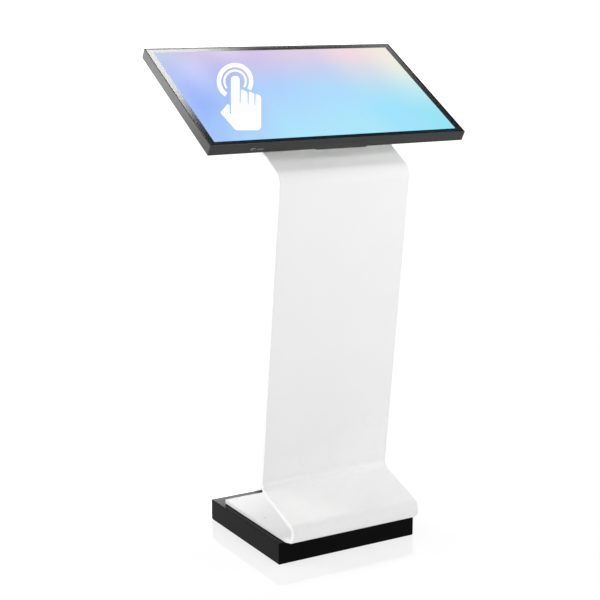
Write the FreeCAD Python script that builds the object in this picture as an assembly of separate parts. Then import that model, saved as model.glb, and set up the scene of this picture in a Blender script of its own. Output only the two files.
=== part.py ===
import FreeCAD, Part
import math
import os

from FreeCAD import Vector

# Touchscreen kiosk, in millimetres. X is to the right of a visitor in front of it, Y to the back and Z up.
# The origin is on the floor, under the middle of the plinth.

# Clearances
GAP = 0.3  # between bent or rounded pieces that lie side by side
SLIP = 0.5  # round a plate, lid or socket in its opening
HOLE_FIT = 0.1  # radial, round a fixed screw or post
RUN_FIT = 0.05  # radial, round a shaft that turns
STOP_GAP = 0.3  # left when a key or button is fully pressed
PAST = 1.0  # how far a cutting shape runs past the face that it opens

# Plinth
PLINTH_W = 410.0
PLINTH_D = 375.0
PLINTH_H = 57.0
PLINTH_WALL = 2.5
PLINTH_EDGE_R = 1.5
PLINTH_FLOOR_T = 3.0
MAT_T = 2.0
MAT_INSET = 1.5
BALLAST_W = 78.0
BALLAST_SIDE_GAP = 2.5
BALLAST_L = 330.0
FLOOR_SCREW_R = 2.5
FLOOR_SCREW_L = 16.0
FLOOR_SCREW_Y = 130.0
FLOOR_SCREW_HEAD_R = 4.6
FLOOR_SCREW_HEAD_T = 1.6
SUPPLY_W = 98.0
SUPPLY_L = 150.0
SUPPLY_H = 38.0
SUPPLY_FRONT_Y = -150.0
SUPPLY_SLOT_W = 3.0
SUPPLY_SLOT_L = 24.0
SUPPLY_SLOT_PITCH = 9.0
SUPPLY_SLOTS = 9

# Inlet with its rocker, and network socket, in the rear skirt
INLET_X = -5.0
INLET_Z = 27.5
INLET_BODY_W = 28.0
INLET_BODY_H = 21.0
INLET_DEPTH = 26.0
FLANGE_T = 2.0
FLANGE_RIM = 3.0
INLET_SOCKET_W = 24.5
INLET_SOCKET_H = 16.5
INLET_SOCKET_DEPTH = 17.0
PIN_W = 2.0
PIN_H = 4.0
PIN_L = 14.0
PIN_PITCH = 7.0
PIN_RISE = 2.0
ROCKER_W = 11.0
ROCKER_HALF = 8.6
ROCKER_BACK_HALF = 5.0
ROCKER_BACK = 6.0
ROCKER_RISE = 1.5
ROCKER_PIVOT = 4.0
ROCKER_ANGLE = 10.0
ROCKER_PIN_R = 1.5
ROCKER_SIDE = 0.4
ROCKER_POCKET_EXTRA = 1.6
ROCKER_WALL = 2.5
NET_X = 35.0
NET_Z = 25.0
NET_W = 16.0
NET_H = 14.0
NET_DEPTH = 20.0
NET_MOUTH_W = 11.8
NET_MOUTH_H = 8.0
NET_MOUTH_DEPTH = 13.0
WIRE_R = 2.4

# Bent stand: front face of one form, from the top of the support plate to the rear of the base plate
STAND_W = 377.0
STAND_T = 12.0
SKIN_T = 2.0
FOLD_R = 2.5
COVER_T = 1.5
SUPPORT_TOP = 130.0
TOP_BEND_R = 39.0
FOOT_BEND_R = 22.0
NOSE_R = 27.0
NOSE_LIFT = 5.0
TOE_ANGLE = 12.0
HEEL_R = 40.0
LEAN = 6.9
COLUMN_Y = -126.7
COLUMN_Z = 600.0
SLOPE = 19.86
SLOPE_Y = -165.8
SLOPE_Z = 133.0
BASE_REAR_Y = 136.5
BAR_W = 12.0
BAR_INNER_X = 75.0
BAR_TO_SCREW = 31.0
BAR_END = 14.0
COVER_LAP = 40.0
COVER_SEAM = 0.6
BUSH_R = 11.0
BASE_SCREW_IN = 27.5
BASE_SCREW_Y = (-35.0, 118.0)
BASE_SCREW_R = 4.0
BASE_SCREW_HEAD_R = 8.0
BASE_SCREW_HEAD_T = 4.4
BASE_SCREW_L = 40.0
HEX_R = 2.6
HEX_DEPTH = 2.4
COVER_SCREW_R = 2.0
COVER_SCREW_HEAD_R = 3.6
COVER_SCREW_HEAD_T = 2.2
COVER_SCREW_L = 6.0
COVER_SCREW_INSET = 60.0
COVER_SCREW_ROWS = 4

# Leads inside the stand
POWER_LEAD_X = -35.0
DATA_LEAD_X = 35.0
POWER_LEAD_R = 3.5
DATA_LEAD_R = 3.2
LEAD_BEND_R = 12.0
LEAD_Y = 75.0
LEAD_Z = 25.0
LEAD_S = 30.0
LEAD_SLOT_HALF = 50.0
LEAD_SLOT_BEHIND = 16.0
LEAD_SLOT_AHEAD = 9.0
GROMMET_WALL = 2.0
CLIP_W = 16.0
CLIP_L = 14.0
CLIP_INSET = 120.0
CLIP_ROWS = 3

# Display head: x across, s up along the glass from the middle of the lit area, d behind the glass
TILT = 30.49
HEAD_Y = 25.1
HEAD_Z = 1170.0
LIT_W = 697.7
LIT_H = 392.3
BORDER_SIDE = 19.2
BORDER_TOP = 11.85
BORDER_BOTTOM = 15.8
RAIL_WALL = 2.0
RAIL_EDGE_R = 0.6
LEDGE_W = 7.0
LEDGE_T = 1.5
REAR_LIP_W = 10.0
REAR_LIP_T = 4.5
GLASS_T = 4.0
GLASS_GAP = 0.4
TAPE_T = 0.8
TAPE_INSET = 1.0
FILM_T = 0.5
FILM_MARGIN = 1.0
HOLDER_LIP_T = 1.0
HOLDER_LIP_MARGIN = 1.0
HOLDER_WALL = 3.0
MODULE_SIDE = 12.0
MODULE_TOP = 7.0
MODULE_BOTTOM = 11.0
CELL_T = 1.6
CELL_MARGIN = 3.5
SHEET_T = 0.5
FRONT_SHEETS = 3
GUIDE_T = 3.0
LED_BAR_W = 3.8
LED_BAR_SHORT = 2.5
TRAY_T = 1.0
TRAY_RIM = 5.6
KEY_BAY = 6.4
CHASSIS_T = 1.6
BRACKET_LEG = 40.0
BRACKET_T = 3.0
CHANNEL_W = 30.0
CHANNEL_IN = 36.0
CHANNEL_S = (-100.0, 100.0)
CHANNEL_T = 1.5
WIRE_WINDOW_W = 60.0
WIRE_WINDOW_S = (-130.0, -118.0)

# Socket, keys and hump under the frame
USB_X = -249.1
USB_W = 13.2
USB_H = 5.1
USB_DEPTH = 14.0
USB_RECESS = 0.35
USB_SHELL = 0.4
USB_TONGUE_W = 10.4
USB_TONGUE_T = 1.6
USB_MOUTH_DEPTH = 9.0
KEY_X = -230.3
KEY_W = 18.4
KEY_H = 4.4
KEY_RECESS = 0.45
KEY_PIVOT = 4.35
KEY_PIN_R = 1.0
KEY_PIN_CLEAR = 0.5
KEY_ANGLE = 2.5
BUTTON_X = -215.9
BUTTON_R = 2.3
BUTTON_RECESS = 0.8
BUTTON_COLLAR_R = 2.9
BUTTON_COLLAR_T = 1.0
BUTTON_STEM_R = 1.4
BUTTON_TRAVEL = 0.8
KEY_BOARD_T = 1.2
KEY_BOARD_START = 9.0
KEY_BOARD_L = 20.0
KEY_BOARD_X = (-262.0, -206.0)
SWITCH_W = 5.0
SWITCH_L = 5.0
SWITCH_SPREAD = 6.0
PINHOLE_R = 0.7
PINHOLES = ((-261.1, 7.4), (-256.0, 7.4), (-250.9, 7.4), (-261.1, 11.6), (-256.0, 11.6), (-259.6, 18.1))
HUMP_W = 152.0
HUMP_H = 3.0
HUMP_D = 10.0
HUMP_CHAMFER = 4.0

# Rear housing and what it holds
HOUSING_W = 600.0
HOUSING_BOTTOM = -140.0
HOUSING_TOP = 170.0
HOUSING_DEPTH = 35.9
HOUSING_WALL = 1.5
HOUSING_FOLD_R = 2.0
HOUSING_FLANGE = 12.0
HOUSING_SCREW_R = 2.0
HOUSING_SCREW_HEAD_R = 3.6
HOUSING_SCREW_HEAD_T = 1.8
HOUSING_SCREW_L = 3.0
HOUSING_SCREW_X = (-240.0, -80.0, 80.0, 240.0)
HOUSING_SCREW_S = (-80.0, 100.0)
VENT_W = 3.0
VENT_H = 22.0
VENT_PITCH = 9.0
VENTS = 22
GRILLE_R = 1.6
GRILLE_PITCH = 7.0
GRILLE_COLUMNS = 11
GRILLE_ROWS = 3
MOUNT_PITCH = 200.0
MOUNT_PLATE_HALF = 132.0
MOUNT_PLATE_T = 3.0
MOUNT_WINDOW_MARGIN = 8.0
MOUNT_SCREW_R = 3.0
MOUNT_SCREW_HEAD_R = 5.5
MOUNT_SCREW_HEAD_T = 3.5
MOUNT_SCREW_L = 14.0
POST_AT = 118.0
POST_R = 6.0
BOARD_LIFT = 3.0
BOARD_T = 1.6
BOARD_POST_R = 3.0
BOARD_POST_INSET = 6.0
MAIN_BOARD = (-88.0, 88.0, -95.0, 75.0)
COMPUTER_IN = 68.0
COMPUTER_OUT = 10.0
COMPUTER_S = (-82.0, 96.0)
TOUCH_BOARD = (-240.0, -160.0, -30.0, 20.0)
PLUG_W = 15.0
PLUG_TOP = 45.0
CHIP = 32.0
CHIP_T = 2.0
SMALL_CHIP = 16.0
SMALL_CHIP_T = 1.6
CAP_R = 5.0
CAP_H = 11.0
SOCKET_ROW_IN = 26.0
SOCKET_ROW_S = (-52.0, -28.0, -4.0, 20.0)
SOCKET_W = 14.0
SOCKET_L = 16.0
SOCKET_H = 11.0
COOLER_TO_LOCK = 55.0
COOLER_S = 8.0
SINK_HALF = 28.0
SINK_BASE = 3.0
SINK_FINS = 9
SINK_FIN_T = 1.6
SINK_FIN_H = 9.0
FAN_HALF = 30.0
FAN_T = 11.0
FAN_BORE_R = 28.0
FAN_TIP_GAP = 1.0
FAN_HUB_R = 12.0
FAN_SPIDER_T = 1.8
FAN_ARM_W = 3.0
FAN_PIN_R = 2.0
FAN_BLADES = 7
BLADE_CHORD = 11.0
BLADE_T = 1.2
BLADE_PITCH = 32.0
SPEAKER_X = (170.0, 268.0)
SPEAKER_S = 38.0
SPEAKER_H = 30.0
CONE_R = 13.0
CONE_DEPTH = 4.0
CONE_SPREAD = 24.0

# Service door, its hinge and its cam lock
DOOR_TO_STAND = 5.5
DOOR_TO_SIDE = 12.0
DOOR_S0 = -86.0
DOOR_S1 = 104.0
DOOR_T = 1.5
DOOR_CORNER_R = 4.0
DOOR_LAP = 6.0
HINGE_OUT = 3.6
HINGE_RISE = 2.9
HINGE_R = 2.5
HINGE_PIN_R = 1.2
HINGE_KNUCKLES = 5
HINGE_LEN = 130.0
HINGE_END_GAP = 0.3
HINGE_LEAF_W = 5.0
LOCK_IN = 19.0
LOCK_S = 9.0
LOCK_R = 8.0
LOCK_HEAD_R = 10.0
LOCK_HEAD_T = 2.0
LOCK_DEPTH = 16.0
LOCK_CORE_R = 5.0
LOCK_CORE_PROUD = 0.4
KEYWAY_W = 1.6
KEYWAY_L = 6.0
KEYWAY_DEPTH = 3.0
CAM_T = 2.0
CAM_W = 10.0
CAM_L = 22.0
CAM_GAP = 0.3

# Worked out from the sizes above
FRAME_X = LIT_W / 2 + BORDER_SIDE
FRAME_S0 = -LIT_H / 2 - BORDER_BOTTOM
FRAME_S1 = LIT_H / 2 + BORDER_TOP
STAND_HALF = STAND_W / 2
DOOR_X0 = STAND_HALF + DOOR_TO_STAND
DOOR_X1 = HOUSING_W / 2 - DOOR_TO_SIDE
LOCK_X = DOOR_X0 + LOCK_IN
COOLER_X = LOCK_X - COOLER_TO_LOCK
COMPUTER_BOARD = (DOOR_X0 - COMPUTER_IN, DOOR_X1 - COMPUTER_OUT, *COMPUTER_S)
SOCKET_ROW_X = DOOR_X1 - SOCKET_ROW_IN
BASE_SCREW_X = STAND_HALF - BASE_SCREW_IN
BAR_X = (BAR_INNER_X, BASE_SCREW_X - BAR_TO_SCREW)
CHANNEL_HALF = FRAME_X - RAIL_WALL - CHANNEL_IN
LED_BAR_HALF = LIT_W / 2 + CELL_MARGIN - LED_BAR_SHORT
D_LEDGE = GLASS_T + TAPE_T
D_HOLDER = D_LEDGE + LEDGE_T
D_CELL = D_HOLDER + HOLDER_LIP_T
D_SHEETS = D_CELL + CELL_T
D_GUIDE = D_SHEETS + FRONT_SHEETS * SHEET_T
D_REFLECTOR = D_GUIDE + GUIDE_T
D_TRAY = D_REFLECTOR + SHEET_T
D_BAY = D_TRAY + TRAY_T
D_LIP = D_BAY + KEY_BAY
D_CHASSIS = D_LIP + REAR_LIP_T
FRAME_DEPTH = D_CHASSIS + CHASSIS_T
HEAD_DEPTH = FRAME_DEPTH + HOUSING_DEPTH
D_BACK = HEAD_DEPTH - HOUSING_WALL
D_BOARD = FRAME_DEPTH + BOARD_LIFT
D_PARTS = D_BOARD + BOARD_T
KEY_D = D_BAY + KEY_BAY / 2
SKIRT_Y = PLINTH_D / 2
SKIRT_IN_Y = SKIRT_Y - PLINTH_WALL
PLINTH_TOP_IN = PLINTH_H - PLINTH_WALL
FLOOR_TOP = MAT_T + PLINTH_FLOOR_T

TILT_RAD = math.radians(TILT)
LEAN_RAD = math.radians(LEAN)
SLOPE_RAD = math.radians(SLOPE)
TOE_RAD = math.radians(TOE_ANGLE)
HEAD_PLACE = FreeCAD.Placement(Vector(0, HEAD_Y, HEAD_Z), FreeCAD.Rotation(Vector(1, 0, 0), TILT))

nodes = {}


def box(x0, x1, y0, y1, z0, z1):
    return Part.makeBox(x1 - x0, y1 - y0, z1 - z0, Vector(x0, y0, z0))


def hbox(x0, x1, s0, s1, d0, d1):
    """A block of the head, before it is tilted: across, up the glass, and behind it."""
    return box(x0, x1, s0, s1, -d1, -d0)


def hrod(x, s, r, d0, d1):
    return Part.makeCylinder(r, d1 - d0, Vector(x, s, -d1), Vector(0, 0, 1))


def frame_ring(outer, inner, d0, d1):
    """A picture frame between two rectangles, each given as x half, low s and high s."""
    full = hbox(-outer[0], outer[0], outer[1], outer[2], d0, d1)
    return full.cut(hbox(-inner[0], inner[0], inner[1], inner[2], d0 - PAST, d1 + PAST))


def inset(rect, by):
    return (rect[0] - by, rect[1] + by, rect[2] - by)


def in_head(shape):
    moved = shape.copy()
    moved.Placement = HEAD_PLACE.multiply(moved.Placement)
    return moved


def fuse(first, *others):
    return first.fuse(list(others)).removeSplitter()


def middle(edge):
    return edge.valueAt((edge.FirstParameter + edge.LastParameter) / 2)


def rounded(shape, radius, picked):
    """Rounds the edges whose middle point passes the test."""
    return shape.makeFillet(radius, [edge for edge in shape.Edges if picked(middle(edge))])


def prism(points, x0, x1):
    """A solid with this outline in Y and Z, from x0 to x1."""
    ring = [Vector(x0, y, z) for y, z in points]
    return Part.Face(Part.makePolygon(ring + ring[:1])).extrude(Vector(x1 - x0, 0, 0))


# ---- The stand's path: straight runs and bends of the front face, and what lies behind it ----
class Run:
    def __init__(self, start, end):
        self.start, self.end = start, end
        dy, dz = end[0] - start[0], end[1] - start[1]
        self.length = math.hypot(dy, dz)
        self.along = (dy / self.length, dz / self.length)
        self.behind = (-self.along[1], self.along[0])

    def at(self, distance, depth):
        return tuple(self.start[i] + distance * self.along[i] + depth * self.behind[i] for i in (0, 1))

    def place(self, shape):
        """Puts a shape drawn with x across, y along the run and z behind its front face."""
        turn = FreeCAD.Rotation(Vector(1, 0, 0), math.degrees(math.atan2(self.along[1], self.along[0])))
        moved = shape.copy()
        moved.Placement = FreeCAD.Placement(Vector(0, *self.start), turn).multiply(moved.Placement)
        return moved


class Bend:
    def __init__(self, before, after, radius, turns_back):
        """Joins two runs with an arc. turns_back: the rear of the form is on the inside of the bend."""
        side = 1 if turns_back else -1
        self.radius, self.side = radius, side
        self.centre = tuple(before.end[i] + side * radius * before.behind[i] for i in (0, 1))
        self.angles = [math.atan2(-side * r.behind[1], -side * r.behind[0]) for r in (before, after)]
        turn = self.angles[1] - self.angles[0]
        turn -= 2 * math.pi * round((turn - side * math.pi / 2) / (2 * math.pi))
        self.angles[1] = self.angles[0] + turn

    def at(self, share, depth):
        r = self.radius - self.side * depth
        a = self.angles[0] + share * (self.angles[1] - self.angles[0])
        return (self.centre[0] + r * math.cos(a), self.centre[1] + r * math.sin(a))


def crossing(p, u, q, v):
    """Where two lines in Y and Z meet."""
    k = ((q[0] - p[0]) * v[1] - (q[1] - p[1]) * v[0]) / (u[0] * v[1] - u[1] * v[0])
    return (p[0] + k * u[0], p[1] + k * u[1])


SUPPORT_DIR = (-math.cos(TILT_RAD), -math.sin(TILT_RAD))
COLUMN_DIR = (math.sin(LEAN_RAD), -math.cos(LEAN_RAD))
SLOPE_DIR = (-math.cos(SLOPE_RAD), -math.sin(SLOPE_RAD))
support_point = (HEAD_Y + HEAD_DEPTH * math.sin(TILT_RAD), HEAD_Z - HEAD_DEPTH * math.cos(TILT_RAD))
support_start = tuple(support_point[i] - SUPPORT_TOP * SUPPORT_DIR[i] for i in (0, 1))
top_corner = crossing(support_point, SUPPORT_DIR, (COLUMN_Y, COLUMN_Z), COLUMN_DIR)
foot_corner = crossing((COLUMN_Y, COLUMN_Z), COLUMN_DIR, (SLOPE_Y, SLOPE_Z), SLOPE_DIR)
top_back = TOP_BEND_R * math.tan((math.pi / 2 - TILT_RAD + LEAN_RAD) / 2)
foot_back = FOOT_BEND_R * math.tan((math.pi / 2 - SLOPE_RAD + LEAN_RAD) / 2)
nose_z = PLINTH_H + NOSE_LIFT + NOSE_R
nose_rise = nose_z + NOSE_R / math.cos(SLOPE_RAD)
nose_y = SLOPE_Y + (nose_rise - SLOPE_Z) / math.tan(SLOPE_RAD)
slope_end = (nose_y - NOSE_R * math.sin(SLOPE_RAD), nose_z + NOSE_R * math.cos(SLOPE_RAD))

support = Run(support_start, tuple(top_corner[i] - top_back * SUPPORT_DIR[i] for i in (0, 1)))
column = Run(
    tuple(top_corner[i] + top_back * COLUMN_DIR[i] for i in (0, 1)),
    tuple(foot_corner[i] - foot_back * COLUMN_DIR[i] for i in (0, 1)),
)
slope = Run(tuple(foot_corner[i] + foot_back * SLOPE_DIR[i] for i in (0, 1)), slope_end)
nose_end = (nose_y - NOSE_R * math.sin(TOE_RAD), nose_z - NOSE_R * math.cos(TOE_RAD))
toe_drop = nose_end[1] - PLINTH_H - HEEL_R * (1 - math.cos(TOE_RAD))
toe_end = (nose_end[0] + toe_drop / math.tan(TOE_RAD), nose_end[1] - toe_drop)
toe = Run(nose_end, toe_end)
base = Run((toe_end[0] + HEEL_R * math.sin(TOE_RAD), PLINTH_H), (BASE_REAR_Y, PLINTH_H))
top_bend = Bend(support, column, TOP_BEND_R, True)
foot_bend = Bend(column, slope, FOOT_BEND_R, False)
nose = Bend(slope, toe, NOSE_R, True)
heel = Bend(toe, base, HEEL_R, True)
PATH = (support, top_bend, column, foot_bend, slope, nose, toe, heel, base)


def path_edges(x, depth, start, end):
    """Edges along the path at one depth. Start and end are each a run of PATH and a distance along it."""
    first, last = PATH.index(start[0]), PATH.index(end[0])
    edges = []
    for i in range(first, last + 1):
        piece = PATH[i]
        if isinstance(piece, Run):
            a = piece.at(start[1] if i == first else 0, depth)
            b = piece.at(end[1] if i == last else piece.length, depth)
            edges.append(Part.makeLine(Vector(x, *a), Vector(x, *b)))
        else:
            p, m, q = (Vector(x, *piece.at(share, depth)) for share in (0, 0.5, 1))
            edges.append(Part.Arc(p, m, q).toShape())
    return edges


def band(depth0, depth1, x0, x1, start, end):
    """A strip of the stand between two depths behind its front face and between two places along it."""
    near, far = path_edges(x0, depth0, start, end), path_edges(x0, depth1, start, end)
    a, b = Vector(x0, *start[0].at(start[1], depth0)), Vector(x0, *start[0].at(start[1], depth1))
    c, d = Vector(x0, *end[0].at(end[1], depth0)), Vector(x0, *end[0].at(end[1], depth1))
    edges = near + far + [Part.makeLine(a, b), Part.makeLine(c, d)]
    wire = Part.Wire(Part.__sortEdges__(edges))
    return Part.Face(wire).extrude(Vector(x1 - x0, 0, 0))


IN_HALF = STAND_HALF - SKIN_T
D_COVER = STAND_T - COVER_T
MIDDLE = STAND_T / 2

# ---- Plinth ----
pw, pd = PLINTH_W / 2, PLINTH_D / 2
ballast_mid = pw - PLINTH_WALL - BALLAST_SIDE_GAP - BALLAST_W / 2
ballast_x = (-ballast_mid, ballast_mid)
base_points = [(side * BASE_SCREW_X, y) for side in (-1, 1) for y in BASE_SCREW_Y]
floor_points = [(x, side * FLOOR_SCREW_Y) for x in ballast_x for side in (-1, 1)]
lead_slot = box(
    -LEAD_SLOT_HALF,
    LEAD_SLOT_HALF,
    LEAD_Y - LEAD_SLOT_BEHIND,
    LEAD_Y + LEAD_SLOT_AHEAD,
    PLINTH_TOP_IN - PAST,
    PLINTH_H + SKIN_T + PAST,
)

rocker_pocket_half = ROCKER_HALF + ROCKER_POCKET_EXTRA
rocker_x = INLET_X - INLET_BODY_W / 2 - ROCKER_WALL - ROCKER_SIDE - ROCKER_W / 2
inlet_x0 = rocker_x - ROCKER_W / 2 - ROCKER_SIDE - ROCKER_WALL
inlet_x1 = INLET_X + INLET_BODY_W / 2
inlet_half = max(INLET_BODY_H / 2, rocker_pocket_half + ROCKER_WALL)
inlet_back = SKIRT_Y - INLET_DEPTH

shell = rounded(box(-pw, pw, -pd, pd, MAT_T, PLINTH_H), PLINTH_EDGE_R, lambda m: m.z > FLOOR_TOP)
shell_x, shell_y = pw - PLINTH_WALL, pd - PLINTH_WALL
shell = shell.cut(box(-shell_x, shell_x, -shell_y, shell_y, 0, PLINTH_TOP_IN))
shell = shell.cut(lead_slot)
for x, y in base_points:
    shell = shell.cut(Part.makeCylinder(BASE_SCREW_R + HOLE_FIT, PLINTH_H, Vector(x, y, FLOOR_TOP)))
shell = shell.cut(
    box(
        inlet_x0 - SLIP,
        inlet_x1 + SLIP,
        SKIRT_IN_Y - PAST,
        SKIRT_Y + PAST,
        INLET_Z - inlet_half - SLIP,
        INLET_Z + inlet_half + SLIP,
    )
)
shell = shell.cut(
    box(
        NET_X - NET_W / 2 - SLIP,
        NET_X + NET_W / 2 + SLIP,
        SKIRT_IN_Y - PAST,
        SKIRT_Y + PAST,
        NET_Z - NET_H / 2 - SLIP,
        NET_Z + NET_H / 2 + SLIP,
    )
)
nodes["plinth_shell"] = shell

floor_x, floor_y = pw - PLINTH_WALL - SLIP, pd - PLINTH_WALL - SLIP
floor = box(-floor_x, floor_x, -floor_y, floor_y, MAT_T, FLOOR_TOP)
bars = []
for x in ballast_x:
    bar = box(x - BALLAST_W / 2, x + BALLAST_W / 2, -BALLAST_L / 2, BALLAST_L / 2, FLOOR_TOP, PLINTH_TOP_IN)
    for hx, hy in base_points:
        reach = PLINTH_H + STAND_T - BASE_SCREW_L - STOP_GAP
        bar = bar.cut(Part.makeCylinder(BASE_SCREW_R + HOLE_FIT, PLINTH_H, Vector(hx, hy, reach)))
    for hx, hy in floor_points:
        tapped = FLOOR_SCREW_L + STOP_GAP
        bar = bar.cut(Part.makeCylinder(FLOOR_SCREW_R + HOLE_FIT, tapped, Vector(hx, hy, MAT_T)))
    bars.append(bar)
nodes["ballast_bars"] = Part.makeCompound(bars)
screws = []
for x, y in floor_points:
    through = PLINTH_FLOOR_T + 2 * PAST
    floor = floor.cut(Part.makeCylinder(FLOOR_SCREW_R + HOLE_FIT, through, Vector(x, y, MAT_T - PAST)))
    head = Part.makeCylinder(FLOOR_SCREW_HEAD_R, FLOOR_SCREW_HEAD_T, Vector(x, y, MAT_T - FLOOR_SCREW_HEAD_T))
    screws.append(fuse(head, Part.makeCylinder(FLOOR_SCREW_R, FLOOR_SCREW_L, Vector(x, y, MAT_T))))
nodes["plinth_floor"] = floor
nodes["floor_screws"] = Part.makeCompound(screws)
mat = box(-pw + MAT_INSET, pw - MAT_INSET, -pd + MAT_INSET, pd - MAT_INSET, 0, MAT_T)
for x, y in floor_points:
    mat = mat.cut(Part.makeCylinder(FLOOR_SCREW_HEAD_R + SLIP, MAT_T + 2 * PAST, Vector(x, y, -PAST)))
nodes["foot_mat"] = mat

sx, sy0, sy1 = SUPPLY_W / 2, SUPPLY_FRONT_Y, SUPPLY_FRONT_Y + SUPPLY_L
supply = box(-sx, sx, sy0, sy1, FLOOR_TOP, FLOOR_TOP + SUPPLY_H)
for i in range(SUPPLY_SLOTS):
    y = (sy0 + sy1) / 2 + (i - (SUPPLY_SLOTS - 1) / 2) * SUPPLY_SLOT_PITCH
    for side in (-1, 1):
        x = side * sx / 2
        slot = (x - SUPPLY_SLOT_L / 2, x + SUPPLY_SLOT_L / 2, y - SUPPLY_SLOT_W / 2, y + SUPPLY_SLOT_W / 2)
        supply = supply.cut(box(*slot, FLOOR_TOP + SUPPLY_H - PLINTH_WALL, PLINTH_H))
nodes["power_supply"] = supply

inlet = box(inlet_x0, inlet_x1, inlet_back, SKIRT_Y, INLET_Z - inlet_half, INLET_Z + inlet_half)
inlet_flange = box(
    inlet_x0 - FLANGE_RIM,
    inlet_x1 + FLANGE_RIM,
    SKIRT_Y,
    SKIRT_Y + FLANGE_T,
    INLET_Z - inlet_half - FLANGE_RIM,
    INLET_Z + inlet_half + FLANGE_RIM,
)
inlet = fuse(inlet, inlet_flange)
face_y = SKIRT_Y + FLANGE_T
inlet = inlet.cut(
    box(
        INLET_X - INLET_SOCKET_W / 2,
        INLET_X + INLET_SOCKET_W / 2,
        face_y - INLET_SOCKET_DEPTH,
        face_y + PAST,
        INLET_Z - INLET_SOCKET_H / 2,
        INLET_Z + INLET_SOCKET_H / 2,
    )
)
pins = []
for i in (-1, 0, 1):
    x, z = INLET_X + i * PIN_PITCH, INLET_Z + (PIN_RISE if i == 0 else -PIN_RISE)
    y = face_y - INLET_SOCKET_DEPTH
    pins.append(box(x - PIN_W / 2, x + PIN_W / 2, y, y + PIN_L, z - PIN_H / 2, z + PIN_H / 2))
pocket = box(
    rocker_x - ROCKER_W / 2 - ROCKER_SIDE,
    rocker_x + ROCKER_W / 2 + ROCKER_SIDE,
    face_y - ROCKER_BACK - ROCKER_POCKET_EXTRA,
    face_y + PAST,
    INLET_Z - rocker_pocket_half,
    INLET_Z + rocker_pocket_half,
)
pivot_y = face_y - ROCKER_PIVOT
pocket_half = ROCKER_W / 2 + ROCKER_SIDE
axle = Part.makeCylinder(
    ROCKER_PIN_R, 2 * pocket_half, Vector(rocker_x - pocket_half, pivot_y, INLET_Z), Vector(1, 0, 0)
)
nodes["mains_inlet"] = fuse(inlet.cut(pocket), axle, *pins)
rocker = prism(
    [
        (face_y - ROCKER_BACK, INLET_Z - ROCKER_BACK_HALF),
        (face_y - ROCKER_BACK, INLET_Z + ROCKER_BACK_HALF),
        (face_y + ROCKER_RISE, INLET_Z + ROCKER_HALF),
        (face_y, INLET_Z),
        (face_y + ROCKER_RISE, INLET_Z - ROCKER_HALF),
    ],
    rocker_x - ROCKER_W / 2,
    rocker_x + ROCKER_W / 2,
)
bore = Part.makeCylinder(
    ROCKER_PIN_R + RUN_FIT, 2 * pocket_half, Vector(rocker_x - pocket_half, pivot_y, INLET_Z), Vector(1, 0, 0)
)
rocker = rocker.cut(bore)
rocker.rotate(Vector(0, pivot_y, INLET_Z), Vector(1, 0, 0), -ROCKER_ANGLE)
nodes["mains_rocker"] = rocker

net_back = SKIRT_Y - NET_DEPTH
socket = box(NET_X - NET_W / 2, NET_X + NET_W / 2, net_back, SKIRT_Y, NET_Z - NET_H / 2, NET_Z + NET_H / 2)
rim = box(
    NET_X - NET_W / 2 - FLANGE_RIM,
    NET_X + NET_W / 2 + FLANGE_RIM,
    SKIRT_Y,
    face_y,
    NET_Z - NET_H / 2 - FLANGE_RIM,
    NET_Z + NET_H / 2 + FLANGE_RIM,
)
mouth = box(
    NET_X - NET_MOUTH_W / 2,
    NET_X + NET_MOUTH_W / 2,
    face_y - NET_MOUTH_DEPTH,
    face_y + PAST,
    NET_Z - NET_MOUTH_H / 2,
    NET_Z + NET_MOUTH_H / 2,
)
nodes["network_socket"] = fuse(socket, rim).cut(mouth)

wire_starts = [Vector(INLET_X + i * PIN_PITCH, sy1, INLET_Z) for i in (-1, 0, 1)]
nodes["mains_wires"] = Part.makeCompound(
    [Part.makeCylinder(WIRE_R, inlet_back - sy1, start, Vector(0, 1, 0)) for start in wire_starts]
)

# ---- Bent stand ----
FULL = ((support, 0), (base, base.length))
fold_points = [Vector(0, *(p.at(p.length / 2, 0) if isinstance(p, Run) else p.at(0.5, 0))) for p in PATH]


def on_fold(m):
    return any(math.hypot(m.y - f.y, m.z - f.z) < FOLD_R / 2 for f in fold_points)


def off_middle(m):
    return abs(m.x) > IN_HALF


skin = band(0, STAND_T, -STAND_HALF, STAND_HALF, *FULL)
skin = rounded(skin, FOLD_R, lambda m: off_middle(m) and on_fold(m))
hollow = band(SKIN_T, STAND_T + PAST, -IN_HALF, IN_HALF, (support, SKIN_T), (base, base.length - SKIN_T))
skin = skin.cut(hollow)
head_slot = in_head(
    hbox(
        -LEAD_SLOT_HALF,
        LEAD_SLOT_HALF,
        LEAD_S - LEAD_SLOT_BEHIND,
        LEAD_S + LEAD_SLOT_AHEAD,
        D_BACK - PAST,
        HEAD_DEPTH + SKIN_T + PAST,
    )
)
skin = skin.cut(lead_slot).cut(head_slot)
mount_points = [(i * MOUNT_PITCH / 2, j * MOUNT_PITCH / 2) for i in (-1, 1) for j in (-1, 1)]
for x, y in base_points:
    under = Vector(x, y, PLINTH_H - PAST)
    skin = skin.cut(Part.makeCylinder(BASE_SCREW_R + HOLE_FIT, SKIN_T + 2 * PAST, under))
for x, s in mount_points:
    hole = hrod(x, s, MOUNT_SCREW_R + HOLE_FIT, HEAD_DEPTH - PAST, HEAD_DEPTH + SKIN_T + PAST)
    skin = skin.cut(in_head(hole))
nodes["stand_skin"] = skin

side = IN_HALF - GAP
liner_start = (column, column.length - COVER_LAP + COVER_SEAM)
support_cover = band(D_COVER, STAND_T, -side, side, (support, SKIN_T + GAP), (column, COVER_LAP))
column_cover = band(
    D_COVER, STAND_T, -side, side, (column, COVER_LAP + COVER_SEAM), (column, column.length - COVER_LAP)
)
liner = band(D_COVER, STAND_T, -side, side, liner_start, (base, base.length - SKIN_T - GAP))

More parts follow.
